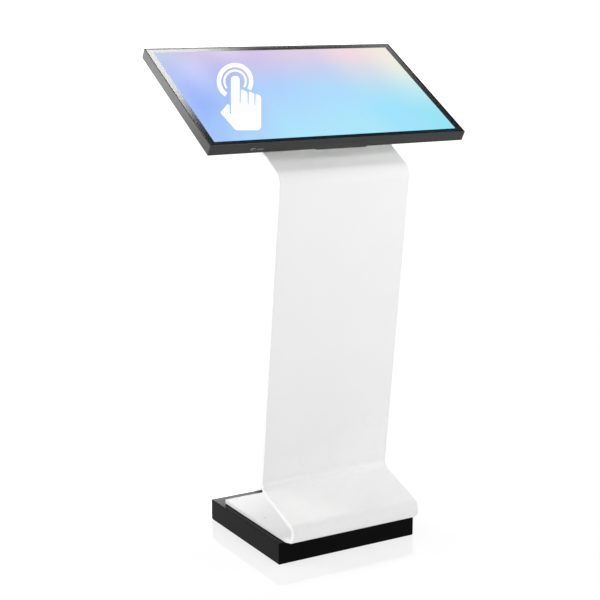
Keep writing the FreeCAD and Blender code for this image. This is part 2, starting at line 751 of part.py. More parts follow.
bars = [
    band(
        SKIN_T + GAP,
        D_COVER - GAP,
        sign * x - BAR_W / 2,
        sign * x + BAR_W / 2,
        (support, BAR_END),
        (base, base.length - BAR_END),
    )
    for x in BAR_X
    for sign in (-1, 1)
]
cover_run = column.length - 2 * COVER_LAP - 2 * COVER_SCREW_INSET
row_step = cover_run / (COVER_SCREW_ROWS - 1)
column_rows = [COVER_LAP + COVER_SCREW_INSET + row_step * i for i in range(COVER_SCREW_ROWS)]
screw_places = [(column, a) for a in column_rows]
screw_places += [(support, COVER_SCREW_INSET), (support, support.length - COVER_SCREW_INSET)]
screws = []
for run, along in screw_places:
    for x in (-BAR_X[1], BAR_X[1]):
        foot = Vector(x, along, STAND_T)
        shank = Part.makeCylinder(COVER_SCREW_R, COVER_SCREW_L, foot - Vector(0, 0, COVER_SCREW_L))
        head = Part.makeCylinder(COVER_SCREW_HEAD_R, COVER_SCREW_HEAD_T, foot)
        screws.append(run.place(fuse(head, shank)))
        depth = COVER_SCREW_L + STOP_GAP
        hole = Part.makeCylinder(COVER_SCREW_R + HOLE_FIT, depth + PAST, foot - Vector(0, 0, depth))
        hole = run.place(hole)
        bars = [bar.cut(hole) for bar in bars]
        if run is column:
            column_cover = column_cover.cut(hole)
        else:
            support_cover = support_cover.cut(hole)
nodes["stiffener_bars"] = Part.makeCompound(bars)
nodes["column_cover"] = column_cover
nodes["support_cover"] = support_cover
nodes["cover_screws"] = Part.makeCompound(screws)

base_top = PLINTH_H + STAND_T
bushes, screws = [], []
for x, y in base_points:
    bush = Part.makeCylinder(BUSH_R, STAND_T - SKIN_T, Vector(x, y, PLINTH_H + SKIN_T))
    bush = bush.cut(Part.makeCylinder(BASE_SCREW_R + HOLE_FIT, STAND_T, Vector(x, y, PLINTH_H)))
    rim_r = BASE_SCREW_HEAD_R + HOLE_FIT
    root_r = BASE_SCREW_R + HOLE_FIT
    sink = Part.makeCone(root_r, rim_r, BASE_SCREW_HEAD_T, Vector(x, y, base_top - BASE_SCREW_HEAD_T))
    bushes.append(bush.cut(sink))
    seat = Vector(x, y, base_top - BASE_SCREW_HEAD_T)
    cone = Part.makeCone(BASE_SCREW_R, BASE_SCREW_HEAD_R, BASE_SCREW_HEAD_T, seat)
    shank = Part.makeCylinder(BASE_SCREW_R, BASE_SCREW_L, Vector(x, y, base_top - BASE_SCREW_L))
    turns = [math.radians(60 * k) for k in range(7)]
    corners = [Vector(x + HEX_R * math.cos(a), y + HEX_R * math.sin(a), base_top + PAST) for a in turns]
    key_hole = Part.Face(Part.makePolygon(corners)).extrude(Vector(0, 0, -HEX_DEPTH - PAST))
    screws.append(fuse(cone, shank).cut(key_hole))
    liner = liner.cut(Part.makeCylinder(BUSH_R + GAP, STAND_T, Vector(x, y, PLINTH_H + SKIN_T)))
nodes["foot_liner"] = liner
nodes["base_bushes"] = Part.makeCompound(bushes)
nodes["base_screws"] = Part.makeCompound(screws)


def lead(x, r, start, plug_top):
    """A lead from the plinth, through the base plate, round the nose, up the column and into the head."""
    toward = 1 if start < LEAD_Y else -1
    low, high = LEAD_Z, PLINTH_H + MIDDLE
    c = LEAD_BEND_R * math.sqrt(0.5)
    turn_y = LEAD_Y - toward * LEAD_BEND_R
    points = [(start, low), (turn_y, low)]
    knee = (turn_y + toward * c, low + LEAD_BEND_R - c)
    rise = (LEAD_Y, low + LEAD_BEND_R)
    rise_end = (LEAD_Y, high - LEAD_BEND_R)
    over = (LEAD_Y - LEAD_BEND_R + c, high - LEAD_BEND_R + c)
    flat = (LEAD_Y - LEAD_BEND_R, high)
    v = [Vector(x, *p) for p in (points[0], points[1], knee, rise, rise_end, over, flat)]
    edges = [
        Part.makeLine(v[0], v[1]),
        Part.Arc(v[1], v[2], v[3]).toShape(),
        Part.makeLine(v[3], v[4]),
        Part.Arc(v[4], v[5], v[6]).toShape(),
    ]
    exit_along = SUPPORT_TOP - LEAD_S + LEAD_BEND_R
    edges += path_edges(x, MIDDLE, (support, exit_along), (base, LEAD_Y - LEAD_BEND_R - base.start[0]))
    centre = (exit_along, MIDDLE - LEAD_BEND_R)
    p = [
        support.at(exit_along, MIDDLE),
        support.at(centre[0] - c, centre[1] + c),
        support.at(centre[0] - LEAD_BEND_R, centre[1]),
        support.at(centre[0] - LEAD_BEND_R, plug_top - HEAD_DEPTH),
    ]
    w = [Vector(x, *q) for q in p]
    edges += [Part.Arc(w[0], w[1], w[2]).toShape(), Part.makeLine(w[2], w[3])]
    route = Part.Wire(Part.__sortEdges__(edges))
    begin = Vector(x, start, low)
    rim_edge = Part.Wire(Part.makeCircle(r, begin, Vector(0, 1, 0)))
    return route.makePipeShell([rim_edge], True, False)


nodes["power_lead"] = lead(POWER_LEAD_X, POWER_LEAD_R, sy1, PLUG_TOP)
nodes["data_lead"] = lead(DATA_LEAD_X, DATA_LEAD_R, net_back, PLUG_TOP)

clips = []
clip_run = column.length - 2 * CLIP_INSET
for i in range(CLIP_ROWS):
    along = CLIP_INSET + clip_run * i / (CLIP_ROWS - 1)
    for x, r in ((POWER_LEAD_X, POWER_LEAD_R), (DATA_LEAD_X, DATA_LEAD_R)):
        half_w, half_l = CLIP_W / 2, CLIP_L / 2
        clip = box(x - half_w, x + half_w, along - half_l, along + half_l, SKIN_T, D_COVER - GAP)
        start = Vector(x, along - half_l - PAST, MIDDLE)
        hole = Part.makeCylinder(r + GAP, CLIP_L + 2 * PAST, start, Vector(0, 1, 0))
        clips.append(column.place(clip.cut(hole)))
nodes["lead_clips"] = Part.makeCompound(clips)


def slot_liner(x0, x1, y0, y1, z0, z1):
    outer = box(x0 + GAP, x1 - GAP, y0 + GAP, y1 - GAP, z0, z1)
    wall = GAP + GROMMET_WALL
    return outer.cut(box(x0 + wall, x1 - wall, y0 + wall, y1 - wall, z0 - PAST, z1 + PAST))


nodes["lead_grommets"] = Part.makeCompound(
    [
        slot_liner(
            -LEAD_SLOT_HALF,
            LEAD_SLOT_HALF,
            LEAD_Y - LEAD_SLOT_BEHIND,
            LEAD_Y + LEAD_SLOT_AHEAD,
            PLINTH_TOP_IN,
            PLINTH_H + SKIN_T,
        ),
        in_head(
            slot_liner(
                -LEAD_SLOT_HALF,
                LEAD_SLOT_HALF,
                LEAD_S - LEAD_SLOT_BEHIND,
                LEAD_S + LEAD_SLOT_AHEAD,
                -HEAD_DEPTH - SKIN_T,
                -D_BACK,
            )
        ),
    ]
)

# ---- Frame of the head ----
FRAME = (FRAME_X, FRAME_S0, FRAME_S1)
walls = rounded(hbox(-FRAME_X, FRAME_X, FRAME_S0, FRAME_S1, 0, FRAME_DEPTH), RAIL_EDGE_R, lambda m: True)
bore = inset(FRAME, RAIL_WALL)
walls = walls.cut(hbox(-bore[0], bore[0], bore[1], bore[2], -PAST, FRAME_DEPTH + PAST))
ledge = frame_ring(inset(FRAME, RAIL_WALL), inset(FRAME, RAIL_WALL + LEDGE_W), D_LEDGE, D_HOLDER)
rear_lip = frame_ring(inset(FRAME, RAIL_WALL), inset(FRAME, RAIL_WALL + REAR_LIP_W), D_LIP, D_CHASSIS)
key_post_s = FRAME_S0 + KEY_PIVOT
key_post = hrod(KEY_X, key_post_s, KEY_PIN_R, D_BAY + KEY_PIN_CLEAR, D_LIP)
whole_frame = fuse(walls, ledge, rear_lip, key_post)
usb_s0 = FRAME_S0 + USB_RECESS
usb_d0, usb_d1 = D_LIP - KEY_BOARD_T - USB_H, D_LIP - KEY_BOARD_T
key_d0, key_d1 = KEY_D - KEY_H / 2, KEY_D + KEY_H / 2
cut_s = (FRAME_S0 - PAST, FRAME_S0 + RAIL_WALL)
usb_half, key_half = USB_W / 2 + GAP, KEY_W / 2 + GAP
openings = [
    hbox(USB_X - usb_half, USB_X + usb_half, *cut_s, usb_d0 - GAP, usb_d1 + GAP),
    hbox(KEY_X - key_half, KEY_X + key_half, *cut_s, key_d0 - GAP, key_d1 + GAP),
]
for x, d, r in [(BUTTON_X, KEY_D, BUTTON_R + GAP)] + [(x, d, PINHOLE_R) for x, d in PINHOLES]:
    start = Vector(x, FRAME_S0 - PAST, -d)
    openings.append(Part.makeCylinder(r, RAIL_WALL + 2 * PAST, start, Vector(0, 1, 0)))
for opening in openings:
    whole_frame = whole_frame.cut(opening)

K = RAIL_WALL + REAR_LIP_W + LEDGE_W
x1, lo, hi = FRAME_X, FRAME_S0, FRAME_S1


def mitred(corners):
    """The part of the frame inside this outline, which runs through the corners at 45 degrees."""
    ring = [Vector(x, s, -FRAME_DEPTH - PAST) for x, s in corners]
    outline = Part.Face(Part.makePolygon(ring + ring[:1]))
    return whole_frame.common(outline.extrude(Vector(0, 0, FRAME_DEPTH + 2 * PAST)))


nodes["rail_bottom"] = in_head(mitred([(-x1, lo), (x1, lo), (x1 - K, lo + K), (-x1 + K, lo + K)]))
nodes["rail_top"] = in_head(mitred([(-x1, hi), (-x1 + K, hi - K), (x1 - K, hi - K), (x1, hi)]))
nodes["rail_left"] = in_head(mitred([(-x1, lo), (-x1 + K, lo + K), (-x1 + K, hi - K), (-x1, hi)]))
nodes["rail_right"] = in_head(mitred([(x1, lo), (x1, hi), (x1 - K, hi - K), (x1 - K, lo + K)]))

brackets = []
inner = inset(FRAME, RAIL_WALL)
for sx_ in (-1, 1):
    for s_edge, up in ((inner[1], 1), (inner[2], -1)):
        xs = sorted((sx_ * inner[0], sx_ * (inner[0] - BRACKET_LEG)))
        ss = sorted((s_edge, s_edge + up * BRACKET_T))
        leg_a = hbox(*xs, *ss, D_BAY + GAP, D_LIP)
        xs = sorted((sx_ * inner[0], sx_ * (inner[0] - BRACKET_T)))
        ss = sorted((s_edge, s_edge + up * BRACKET_LEG))
        brackets.append(fuse(leg_a, hbox(*xs, *ss, D_BAY + GAP, D_LIP)))
nodes["corner_brackets"] = in_head(Part.makeCompound(brackets))

hump_ring = [
    Vector(-HUMP_W / 2, FRAME_S0, -FRAME_DEPTH),
    Vector(HUMP_W / 2, FRAME_S0, -FRAME_DEPTH),
    Vector(HUMP_W / 2 - HUMP_CHAMFER, FRAME_S0 - HUMP_H, -FRAME_DEPTH),
    Vector(-HUMP_W / 2 + HUMP_CHAMFER, FRAME_S0 - HUMP_H, -FRAME_DEPTH),
]
hump = Part.Face(Part.makePolygon(hump_ring + hump_ring[:1])).extrude(Vector(0, 0, HUMP_D))
ramp = [(FRAME_S0, HUMP_D - FRAME_DEPTH), (FRAME_S0, -FRAME_DEPTH), (FRAME_S0 - HUMP_H, -FRAME_DEPTH)]
hump = hump.common(prism(ramp, -HUMP_W / 2, HUMP_W / 2))
nodes["sensor_bar"] = in_head(hump)

# ---- Glass, touch sensor and panel ----
GLASS = inset(FRAME, RAIL_WALL + GLASS_GAP)
nodes["cover_glass"] = in_head(hbox(-GLASS[0], GLASS[0], GLASS[1], GLASS[2], 0, GLASS_T))
LEDGE_IN = inset(FRAME, RAIL_WALL + LEDGE_W)
nodes["glass_gasket"] = in_head(frame_ring(inset(GLASS, TAPE_INSET), LEDGE_IN, GLASS_T, D_LEDGE))
FILM = inset(LEDGE_IN, FILM_MARGIN)
nodes["touch_film"] = in_head(hbox(-FILM[0], FILM[0], FILM[1], FILM[2], GLASS_T, GLASS_T + FILM_T))

MODULE = (LIT_W / 2 + MODULE_SIDE, -LIT_H / 2 - MODULE_BOTTOM, LIT_H / 2 + MODULE_TOP)
LIT = (LIT_W / 2, -LIT_H / 2, LIT_H / 2)
CELL = inset(LIT, -CELL_MARGIN)
holder = frame_ring(MODULE, inset(MODULE, HOLDER_WALL), D_HOLDER, D_TRAY)
lip = frame_ring(MODULE, inset(LIT, -HOLDER_LIP_MARGIN), D_HOLDER, D_CELL)
nodes["panel_holder"] = in_head(fuse(holder, lip))
nodes["lcd_cell"] = in_head(hbox(-CELL[0], CELL[0], CELL[1], CELL[2], D_CELL, D_SHEETS))
SHEET_AT = [D_SHEETS + i * SHEET_T for i in range(FRONT_SHEETS)] + [D_REFLECTOR]
nodes["optical_sheets"] = in_head(
    Part.makeCompound([hbox(-CELL[0], CELL[0], CELL[1], CELL[2], d, d + SHEET_T) for d in SHEET_AT])
)
nodes["light_guide"] = in_head(hbox(-CELL[0], CELL[0], CELL[1], CELL[2], D_GUIDE, D_REFLECTOR))
nodes["led_bar"] = in_head(
    hbox(-LED_BAR_HALF, LED_BAR_HALF, CELL[1] - GAP - LED_BAR_W, CELL[1] - GAP, D_GUIDE, D_REFLECTOR)
)
TRAY = inset(MODULE, -GAP - TRAY_T)
tray = hbox(-TRAY[0], TRAY[0], TRAY[1], TRAY[2], D_TRAY, D_BAY)
tray_rim = frame_ring(TRAY, inset(TRAY, TRAY_T), D_TRAY - TRAY_RIM, D_TRAY)
nodes["backlight_tray"] = in_head(fuse(tray, tray_rim))
channels = []
for s in CHANNEL_S:
    bar = hbox(-CHANNEL_HALF, CHANNEL_HALF, s - CHANNEL_W / 2, s + CHANNEL_W / 2, D_BAY, D_CHASSIS)
    groove = hbox(
        -CHANNEL_HALF - PAST,
        CHANNEL_HALF + PAST,
        s - CHANNEL_W / 2 + CHANNEL_T,
        s + CHANNEL_W / 2 - CHANNEL_T,
        D_BAY - PAST,
        D_CHASSIS - CHANNEL_T,
    )
    channels.append(bar.cut(groove))
nodes["panel_channels"] = in_head(Part.makeCompound(channels))

# ---- Chassis plate, rear housing and mounting plate ----
PLATE = inset(FRAME, RAIL_WALL + SLIP)
chassis = hbox(-PLATE[0], PLATE[0], PLATE[1], PLATE[2], D_CHASSIS, FRAME_DEPTH)
window_half = WIRE_WINDOW_W / 2
chassis = chassis.cut(hbox(-window_half, window_half, *WIRE_WINDOW_S, D_CHASSIS - PAST, FRAME_DEPTH + PAST))
hw = HOUSING_W / 2
outer = hbox(-hw, hw, HOUSING_BOTTOM, HOUSING_TOP, FRAME_DEPTH, HEAD_DEPTH)
outer = rounded(outer, HOUSING_FOLD_R, lambda m: m.z < -FRAME_DEPTH)
cavity = hbox(
    -hw + HOUSING_WALL,
    hw - HOUSING_WALL,
    HOUSING_BOTTOM + HOUSING_WALL,
    HOUSING_TOP - HOUSING_WALL,
    FRAME_DEPTH - PAST,
    D_BACK,
)
rim_rect = (hw + HOUSING_FLANGE, HOUSING_BOTTOM - HOUSING_FLANGE, HOUSING_TOP + HOUSING_FLANGE)
wall_inside = inset((hw, HOUSING_BOTTOM, HOUSING_TOP), HOUSING_WALL)
flange = frame_ring(rim_rect, wall_inside, FRAME_DEPTH, FRAME_DEPTH + HOUSING_WALL)
hatch = (DOOR_X0 + DOOR_LAP, DOOR_X1 - DOOR_LAP, DOOR_S0 + DOOR_LAP, DOOR_S1 - DOOR_LAP)
cam_d1 = D_BACK - LOCK_DEPTH
strike_end = cam_d1 + CAM_GAP
strike = hbox(hatch[0] - HOUSING_WALL, hatch[0], hatch[2], hatch[3], strike_end, D_BACK)
housing = fuse(outer.cut(cavity), flange, strike)
housing = housing.cut(hbox(*hatch, D_BACK - PAST, HEAD_DEPTH + PAST))
housing = housing.cut(
    hbox(
        -LEAD_SLOT_HALF,
        LEAD_SLOT_HALF,
        LEAD_S - LEAD_SLOT_BEHIND,
        LEAD_S + LEAD_SLOT_AHEAD,
        D_BACK - PAST,
        HEAD_DEPTH + PAST,
    )
)
vent_d = (FRAME_DEPTH + HEAD_DEPTH) / 2
slots = []
for i in range(VENTS):
    for side_x in (-1, 1):
        x = side_x * (VENT_PITCH * (i + 1))
        slots.append(
            hbox(
                x - VENT_W / 2,
                x + VENT_W / 2,
                HOUSING_TOP - HOUSING_WALL - PAST,
                HOUSING_TOP + PAST,
                vent_d - VENT_H / 2,
                vent_d + VENT_H / 2,
            )
        )
speaker_mid = (SPEAKER_X[0] + SPEAKER_X[1]) / 2
grille_d = FRAME_DEPTH + SPEAKER_H / 2
for sign in (-1, 1):
    for i in range(GRILLE_COLUMNS):
        for j in range(GRILLE_ROWS):
            x = sign * speaker_mid + (i - (GRILLE_COLUMNS - 1) / 2) * GRILLE_PITCH
            d = grille_d + (j - (GRILLE_ROWS - 1) / 2) * GRILLE_PITCH
            start = Vector(x, HOUSING_BOTTOM - PAST, -d)
            slots.append(Part.makeCylinder(GRILLE_R, HOUSING_WALL + 2 * PAST, start, Vector(0, 1, 0)))
housing = housing.cut(Part.makeCompound(slots))
for x, s in mount_points:
    housing = housing.cut(hrod(x, s, MOUNT_SCREW_R + HOLE_FIT, D_BACK - PAST, HEAD_DEPTH + PAST))

flange_points = [
    (x, s)
    for x in HOUSING_SCREW_X
    for s in (HOUSING_BOTTOM - HOUSING_FLANGE / 2, HOUSING_TOP + HOUSING_FLANGE / 2)
]
flange_points += [(side_x * (hw + HOUSING_FLANGE / 2), s) for side_x in (-1, 1) for s in HOUSING_SCREW_S]
screws = []
top_d = FRAME_DEPTH + HOUSING_WALL
for x, s in flange_points:
    hole = hrod(x, s, HOUSING_SCREW_R + HOLE_FIT, D_CHASSIS - PAST, top_d + PAST)
    housing = housing.cut(hole)
    chassis = chassis.cut(hole)
    shank = hrod(x, s, HOUSING_SCREW_R, top_d - HOUSING_SCREW_L, top_d)
    screws.append(fuse(hrod(x, s, HOUSING_SCREW_HEAD_R, top_d, top_d + HOUSING_SCREW_HEAD_T), shank))
nodes["rear_housing"] = in_head(housing)
nodes["chassis_plate"] = in_head(chassis)
nodes["housing_screws"] = in_head(Part.makeCompound(screws))

D_MOUNT = D_BACK - MOUNT_PLATE_T
mount = hbox(-MOUNT_PLATE_HALF, MOUNT_PLATE_HALF, -MOUNT_PLATE_HALF, MOUNT_PLATE_HALF, D_MOUNT, D_BACK)
mount = mount.cut(
    hbox(
        -LEAD_SLOT_HALF - MOUNT_WINDOW_MARGIN,
        LEAD_SLOT_HALF + MOUNT_WINDOW_MARGIN,
        LEAD_S - LEAD_SLOT_BEHIND - MOUNT_WINDOW_MARGIN,
        LEAD_S + LEAD_SLOT_AHEAD + MOUNT_WINDOW_MARGIN,
        D_MOUNT - PAST,
        D_BACK + PAST,
    )
)
screws = []
for x, s in mount_points:
    mount = mount.cut(hrod(x, s, MOUNT_SCREW_R + HOLE_FIT, D_MOUNT - PAST, D_BACK + PAST))
    seat = HEAD_DEPTH + SKIN_T
    shank = hrod(x, s, MOUNT_SCREW_R, seat - MOUNT_SCREW_L, seat)
    screws.append(fuse(hrod(x, s, MOUNT_SCREW_HEAD_R, seat, seat + MOUNT_SCREW_HEAD_T), shank))
nodes["mounting_plate"] = in_head(mount)
nodes["mounting_screws"] = in_head(Part.makeCompound(screws))
post_points = [(i * POST_AT, j * POST_AT) for i in (-1, 1) for j in (-1, 1)]
nodes["plate_posts"] = in_head(
    Part.makeCompound([hrod(x, s, POST_R, FRAME_DEPTH, D_MOUNT) for x, s in post_points])
)

# ---- Electronics in the head ----
board_posts = []


def board(rect, *parts):
    """A populated board on four posts."""
    x0, x1_, s0, s1 = rect
    for x in (x0 + BOARD_POST_INSET, x1_ - BOARD_POST_INSET):
        for s in (s0 + BOARD_POST_INSET, s1 - BOARD_POST_INSET):
            board_posts.append(hrod(x, s, BOARD_POST_R, FRAME_DEPTH, D_BOARD))
    return in_head(fuse(hbox(x0, x1_, s0, s1, D_BOARD, D_PARTS), *parts))


def on_board(x, s, half_x, half_s, height):
    return hbox(x - half_x, x + half_x, s - half_s, s + half_s, D_PARTS, D_PARTS + height)


plug = PLUG_W / 2
parts = [
    hbox(x - plug, x + plug, LEAD_S - plug, LEAD_S + plug, D_PARTS, PLUG_TOP)
    for x in (POWER_LEAD_X, DATA_LEAD_X)
]
parts.append(on_board(0, -CHIP, CHIP / 2, CHIP / 2, CHIP_T))
for i in (-1, 1):
    parts.append(on_board(i * (CHIP + SMALL_CHIP), -CHIP, SMALL_CHIP / 2, SMALL_CHIP / 2, SMALL_CHIP_T))
    parts.append(hrod(i * (CHIP + SMALL_CHIP), -2 * CHIP, CAP_R, D_PARTS, D_PARTS + CAP_H))
nodes["main_board"] = board(MAIN_BOARD, *parts)
parts = [on_board(COOLER_X, COOLER_S, CHIP / 2, CHIP / 2, CHIP_T)]
parts += [on_board(SOCKET_ROW_X, s, SOCKET_W / 2, SOCKET_L / 2, SOCKET_H) for s in SOCKET_ROW_S]
parts.append(on_board(COOLER_X, COOLER_S - FAN_HALF - SMALL_CHIP, SINK_HALF, SMALL_CHIP / 2, CHIP_T))
nodes["computer_board"] = board(COMPUTER_BOARD, *parts)
touch_mid = ((TOUCH_BOARD[0] + TOUCH_BOARD[1]) / 2, (TOUCH_BOARD[2] + TOUCH_BOARD[3]) / 2)
touch_chip = on_board(*touch_mid, SMALL_CHIP / 2, SMALL_CHIP / 2, SMALL_CHIP_T)
nodes["touch_controller"] = board(TOUCH_BOARD, touch_chip)
nodes["board_posts"] = in_head(Part.makeCompound(board_posts))

D_SINK = D_PARTS + CHIP_T
D_FAN = D_SINK + SINK_BASE + SINK_FIN_H
sink_x = (COOLER_X - SINK_HALF, COOLER_X + SINK_HALF)
sink_s = (COOLER_S - SINK_HALF, COOLER_S + SINK_HALF)
sink = hbox(*sink_x, *sink_s, D_SINK, D_SINK + SINK_BASE)
fins = []
for i in range(SINK_FINS):
    x = sink_x[0] + i * (2 * SINK_HALF - SINK_FIN_T) / (SINK_FINS - 1)
    fins.append(hbox(x, x + SINK_FIN_T, *sink_s, D_SINK + SINK_BASE, D_FAN))
nodes["heat_sink"] = in_head(fuse(sink, *fins))
D_FAN_BACK = D_FAN + FAN_T
fan = hbox(
    COOLER_X - FAN_HALF, COOLER_X + FAN_HALF, COOLER_S - FAN_HALF, COOLER_S + FAN_HALF, D_FAN, D_FAN_BACK
)
fan = fan.cut(hrod(COOLER_X, COOLER_S, FAN_BORE_R, D_FAN - PAST, D_FAN_BACK + PAST))
spider_d = D_FAN_BACK - FAN_SPIDER_T
arm_half, arm_w = FAN_BORE_R + PAST, FAN_ARM_W / 2
arm = hbox(COOLER_X - arm_half, COOLER_X + arm_half, COOLER_S - arm_w, COOLER_S + arm_w, spider_d, D_FAN_BACK)
arm_b = arm.copy()
arm_b.rotate(Vector(COOLER_X, COOLER_S, 0), Vector(0, 0, 1), 90)
fan_pin = hrod(COOLER_X, COOLER_S, FAN_PIN_R, D_FAN + GAP, D_FAN_BACK)
fan_disc = hrod(COOLER_X, COOLER_S, FAN_HUB_R, spider_d, D_FAN_BACK)
nodes["fan_housing"] = in_head(fuse(fan, arm, arm_b, fan_pin, fan_disc))
tip_r = FAN_BORE_R - FAN_TIP_GAP
hub_d0, hub_d1 = D_FAN + GAP, spider_d - GAP
rotor = hrod(0, 0, FAN_HUB_R, hub_d0, hub_d1)
blades = []
for i in range(FAN_BLADES):
    blade = box(FAN_HUB_R - 2 * PAST, tip_r, -BLADE_CHORD / 2, BLADE_CHORD / 2, -BLADE_T / 2, BLADE_T / 2)
    blade.rotate(Vector(0, 0, 0), Vector(1, 0, 0), BLADE_PITCH)
    blade.translate(Vector(0, 0, -(hub_d0 + hub_d1) / 2))
    blade.rotate(Vector(0, 0, 0), Vector(0, 0, 1), 360.0 * i / FAN_BLADES)
    blades.append(blade)
rotor = fuse(rotor, *blades)
rotor = rotor.common(hrod(0, 0, tip_r, hub_d0, hub_d1))
rotor = rotor.cut(hrod(0, 0, FAN_PIN_R + RUN_FIT, hub_d0 - PAST, hub_d1 + PAST))
rotor.translate(Vector(COOLER_X, COOLER_S, 0))
nodes["fan_rotor"] = in_head(rotor)

speakers = []
low = HOUSING_BOTTOM + HOUSING_WALL
for sign in (-1, 1):
    xs = sorted((sign * SPEAKER_X[0], sign * SPEAKER_X[1]))
    case = hbox(*xs, low, low + SPEAKER_S, FRAME_DEPTH, FRAME_DEPTH + SPEAKER_H)
    for k in (-1, 1):
        mouth = Vector(sign * speaker_mid + k * CONE_SPREAD, low - PAST, -grille_d)
        case = case.cut(Part.makeCylinder(CONE_R, CONE_DEPTH + PAST, mouth, Vector(0, 1, 0)))
    speakers.append(case)
nodes["speakers"] = in_head(Part.makeCompound(speakers))

# ---- Key board, button and key under the frame ----
board_s0 = FRAME_S0 + KEY_BOARD_START
kb = hbox(*KEY_BOARD_X, board_s0, board_s0 + KEY_BOARD_L, D_LIP - KEY_BOARD_T, D_LIP)
usb = hbox(USB_X - USB_W / 2, USB_X + USB_W / 2, usb_s0, usb_s0 + USB_DEPTH, usb_d0, usb_d1)
usb = usb.cut(
    hbox(
        USB_X - USB_W / 2 + USB_SHELL,
        USB_X + USB_W / 2 - USB_SHELL,
        usb_s0 - PAST,
        usb_s0 + USB_MOUTH_DEPTH,
        usb_d0 + USB_SHELL,
        usb_d1 - USB_SHELL,
    )
)
tongue_d = usb_d0 + USB_SHELL
tongue = hbox(
    USB_X - USB_TONGUE_W / 2, USB_X + USB_TONGUE_W / 2, usb_s0 + PAST, usb_s0 + USB_DEPTH, tongue_d,
    tongue_d + USB_TONGUE_T,
)
switch_s = board_s0
switch_d0 = D_BAY + STOP_GAP
switches = [
    hbox(x - SWITCH_W / 2, x + SWITCH_W / 2, switch_s, switch_s + SWITCH_L, switch_d0, D_LIP - KEY_BOARD_T)
    for x in (KEY_X - SWITCH_SPREAD, KEY_X + SWITCH_SPREAD, BUTTON_X)
]
nodes["key_board"] = in_head(fuse(kb, usb, tongue, *switches))

button_s = FRAME_S0 + BUTTON_RECESS
collar_s = FRAME_S0 + RAIL_WALL + GAP
stem_end = switch_s - BUTTON_TRAVEL - STOP_GAP
UP = Vector(0, 1, 0)
cap = Part.makeCylinder(BUTTON_R, collar_s - button_s, Vector(BUTTON_X, button_s, -KEY_D), UP)
collar = Part.makeCylinder(BUTTON_COLLAR_R, BUTTON_COLLAR_T, Vector(BUTTON_X, collar_s, -KEY_D), UP)
stem = Part.makeCylinder(BUTTON_STEM_R, stem_end - collar_s, Vector(BUTTON_X, collar_s, -KEY_D), UP)
nodes["power_button"] = in_head(fuse(cap, collar, stem))

key_swing = math.sin(math.radians(KEY_ANGLE)) * KEY_W / 2
key_s1 = switch_s - key_swing - STOP_GAP
key = hbox(KEY_X - KEY_W / 2, KEY_X + KEY_W / 2, FRAME_S0 + KEY_RECESS, key_s1, key_d0, key_d1)
key = key.cut(hrod(KEY_X, key_post_s, KEY_PIN_R + RUN_FIT, D_BAY, D_LIP))
nodes["volume_key"] = in_head(key)

# ---- Service door, hinge and lock ----
axis_x, axis_d = DOOR_X1 + HINGE_OUT, HEAD_DEPTH + HINGE_RISE
door_out = HEAD_DEPTH + DOOR_T
hinge_mid = (DOOR_S0 + DOOR_S1) / 2
knuckle = (HINGE_LEN - HINGE_END_GAP * (HINGE_KNUCKLES - 1)) / HINGE_KNUCKLES


def knuckle_at(i):
    start = hinge_mid - HINGE_LEN / 2 + i * (knuckle + HINGE_END_GAP)
    return start, start + knuckle


def barrel(r, s0, s1):
    return Part.makeCylinder(r, s1 - s0, Vector(axis_x, s0, -axis_d), Vector(0, 1, 0))


door = hbox(DOOR_X0, DOOR_X1, DOOR_S0, DOOR_S1, HEAD_DEPTH, door_out)
door = rounded(door, DOOR_CORNER_R, lambda m: m.x < DOOR_X1 and -door_out < m.z < -HEAD_DEPTH)
leaf_x0 = axis_x + HINGE_R + SLIP
pin_s = (hinge_mid - HINGE_LEN / 2, hinge_mid + HINGE_LEN / 2)
leaf = hbox(leaf_x0, leaf_x0 + HINGE_LEAF_W, *pin_s, HEAD_DEPTH, door_out)
fixed, moving = [], []
for i in range(HINGE_KNUCKLES):
    s0, s1 = knuckle_at(i)
    if i % 2 == 0:
        fixed += [barrel(HINGE_R, s0, s1), hbox(axis_x, leaf_x0, s0, s1, HEAD_DEPTH, door_out)]
    else:
        moving += [barrel(HINGE_R, s0, s1), hbox(DOOR_X1, axis_x, s0, s1, HEAD_DEPTH, door_out)]
nodes["door_hinge"] = in_head(fuse(leaf, barrel(HINGE_PIN_R, *pin_s), *fixed))
door = fuse(door, *moving).cut(barrel(HINGE_PIN_R + RUN_FIT, *pin_s))
lock_hole = hrod(LOCK_X, LOCK_S, LOCK_R + HOLE_FIT, HEAD_DEPTH - PAST, door_out + PAST)
nodes["service_door"] = in_head(door.cut(lock_hole))

lock = fuse(
    hrod(LOCK_X, LOCK_S, LOCK_R, cam_d1, door_out),
    hrod(LOCK_X, LOCK_S, LOCK_HEAD_R, door_out, door_out + LOCK_HEAD_T),
)
lock_bore = hrod(LOCK_X, LOCK_S, LOCK_CORE_R + RUN_FIT, cam_d1 - PAST, door_out + LOCK_HEAD_T + PAST)
nodes["lock_body"] = in_head(lock.cut(lock_bore))
core_out = door_out + LOCK_HEAD_T + LOCK_CORE_PROUD
core = hrod(LOCK_X, LOCK_S, LOCK_CORE_R, cam_d1 - CAM_GAP, core_out)
cam = hbox(
    LOCK_X - CAM_W / 2,
    LOCK_X + CAM_W / 2,
    LOCK_S - CAM_W / 2,
    LOCK_S + CAM_L,
    cam_d1 - CAM_GAP - CAM_T,
    cam_d1 - CAM_GAP,
)
keyway = hbox(
    LOCK_X - KEYWAY_W / 2,
    LOCK_X + KEYWAY_W / 2,
    LOCK_S - KEYWAY_L / 2,
    LOCK_S + KEYWAY_L / 2,
    core_out - KEYWAY_DEPTH,
    core_out + PAST,
)
nodes["lock_core"] = in_head(fuse(core, cam).cut(keyway))

os.makedirs("parts", exist_ok=True)
for name, shape in nodes.items():
    shape.exportStep("parts/" + name + ".step")
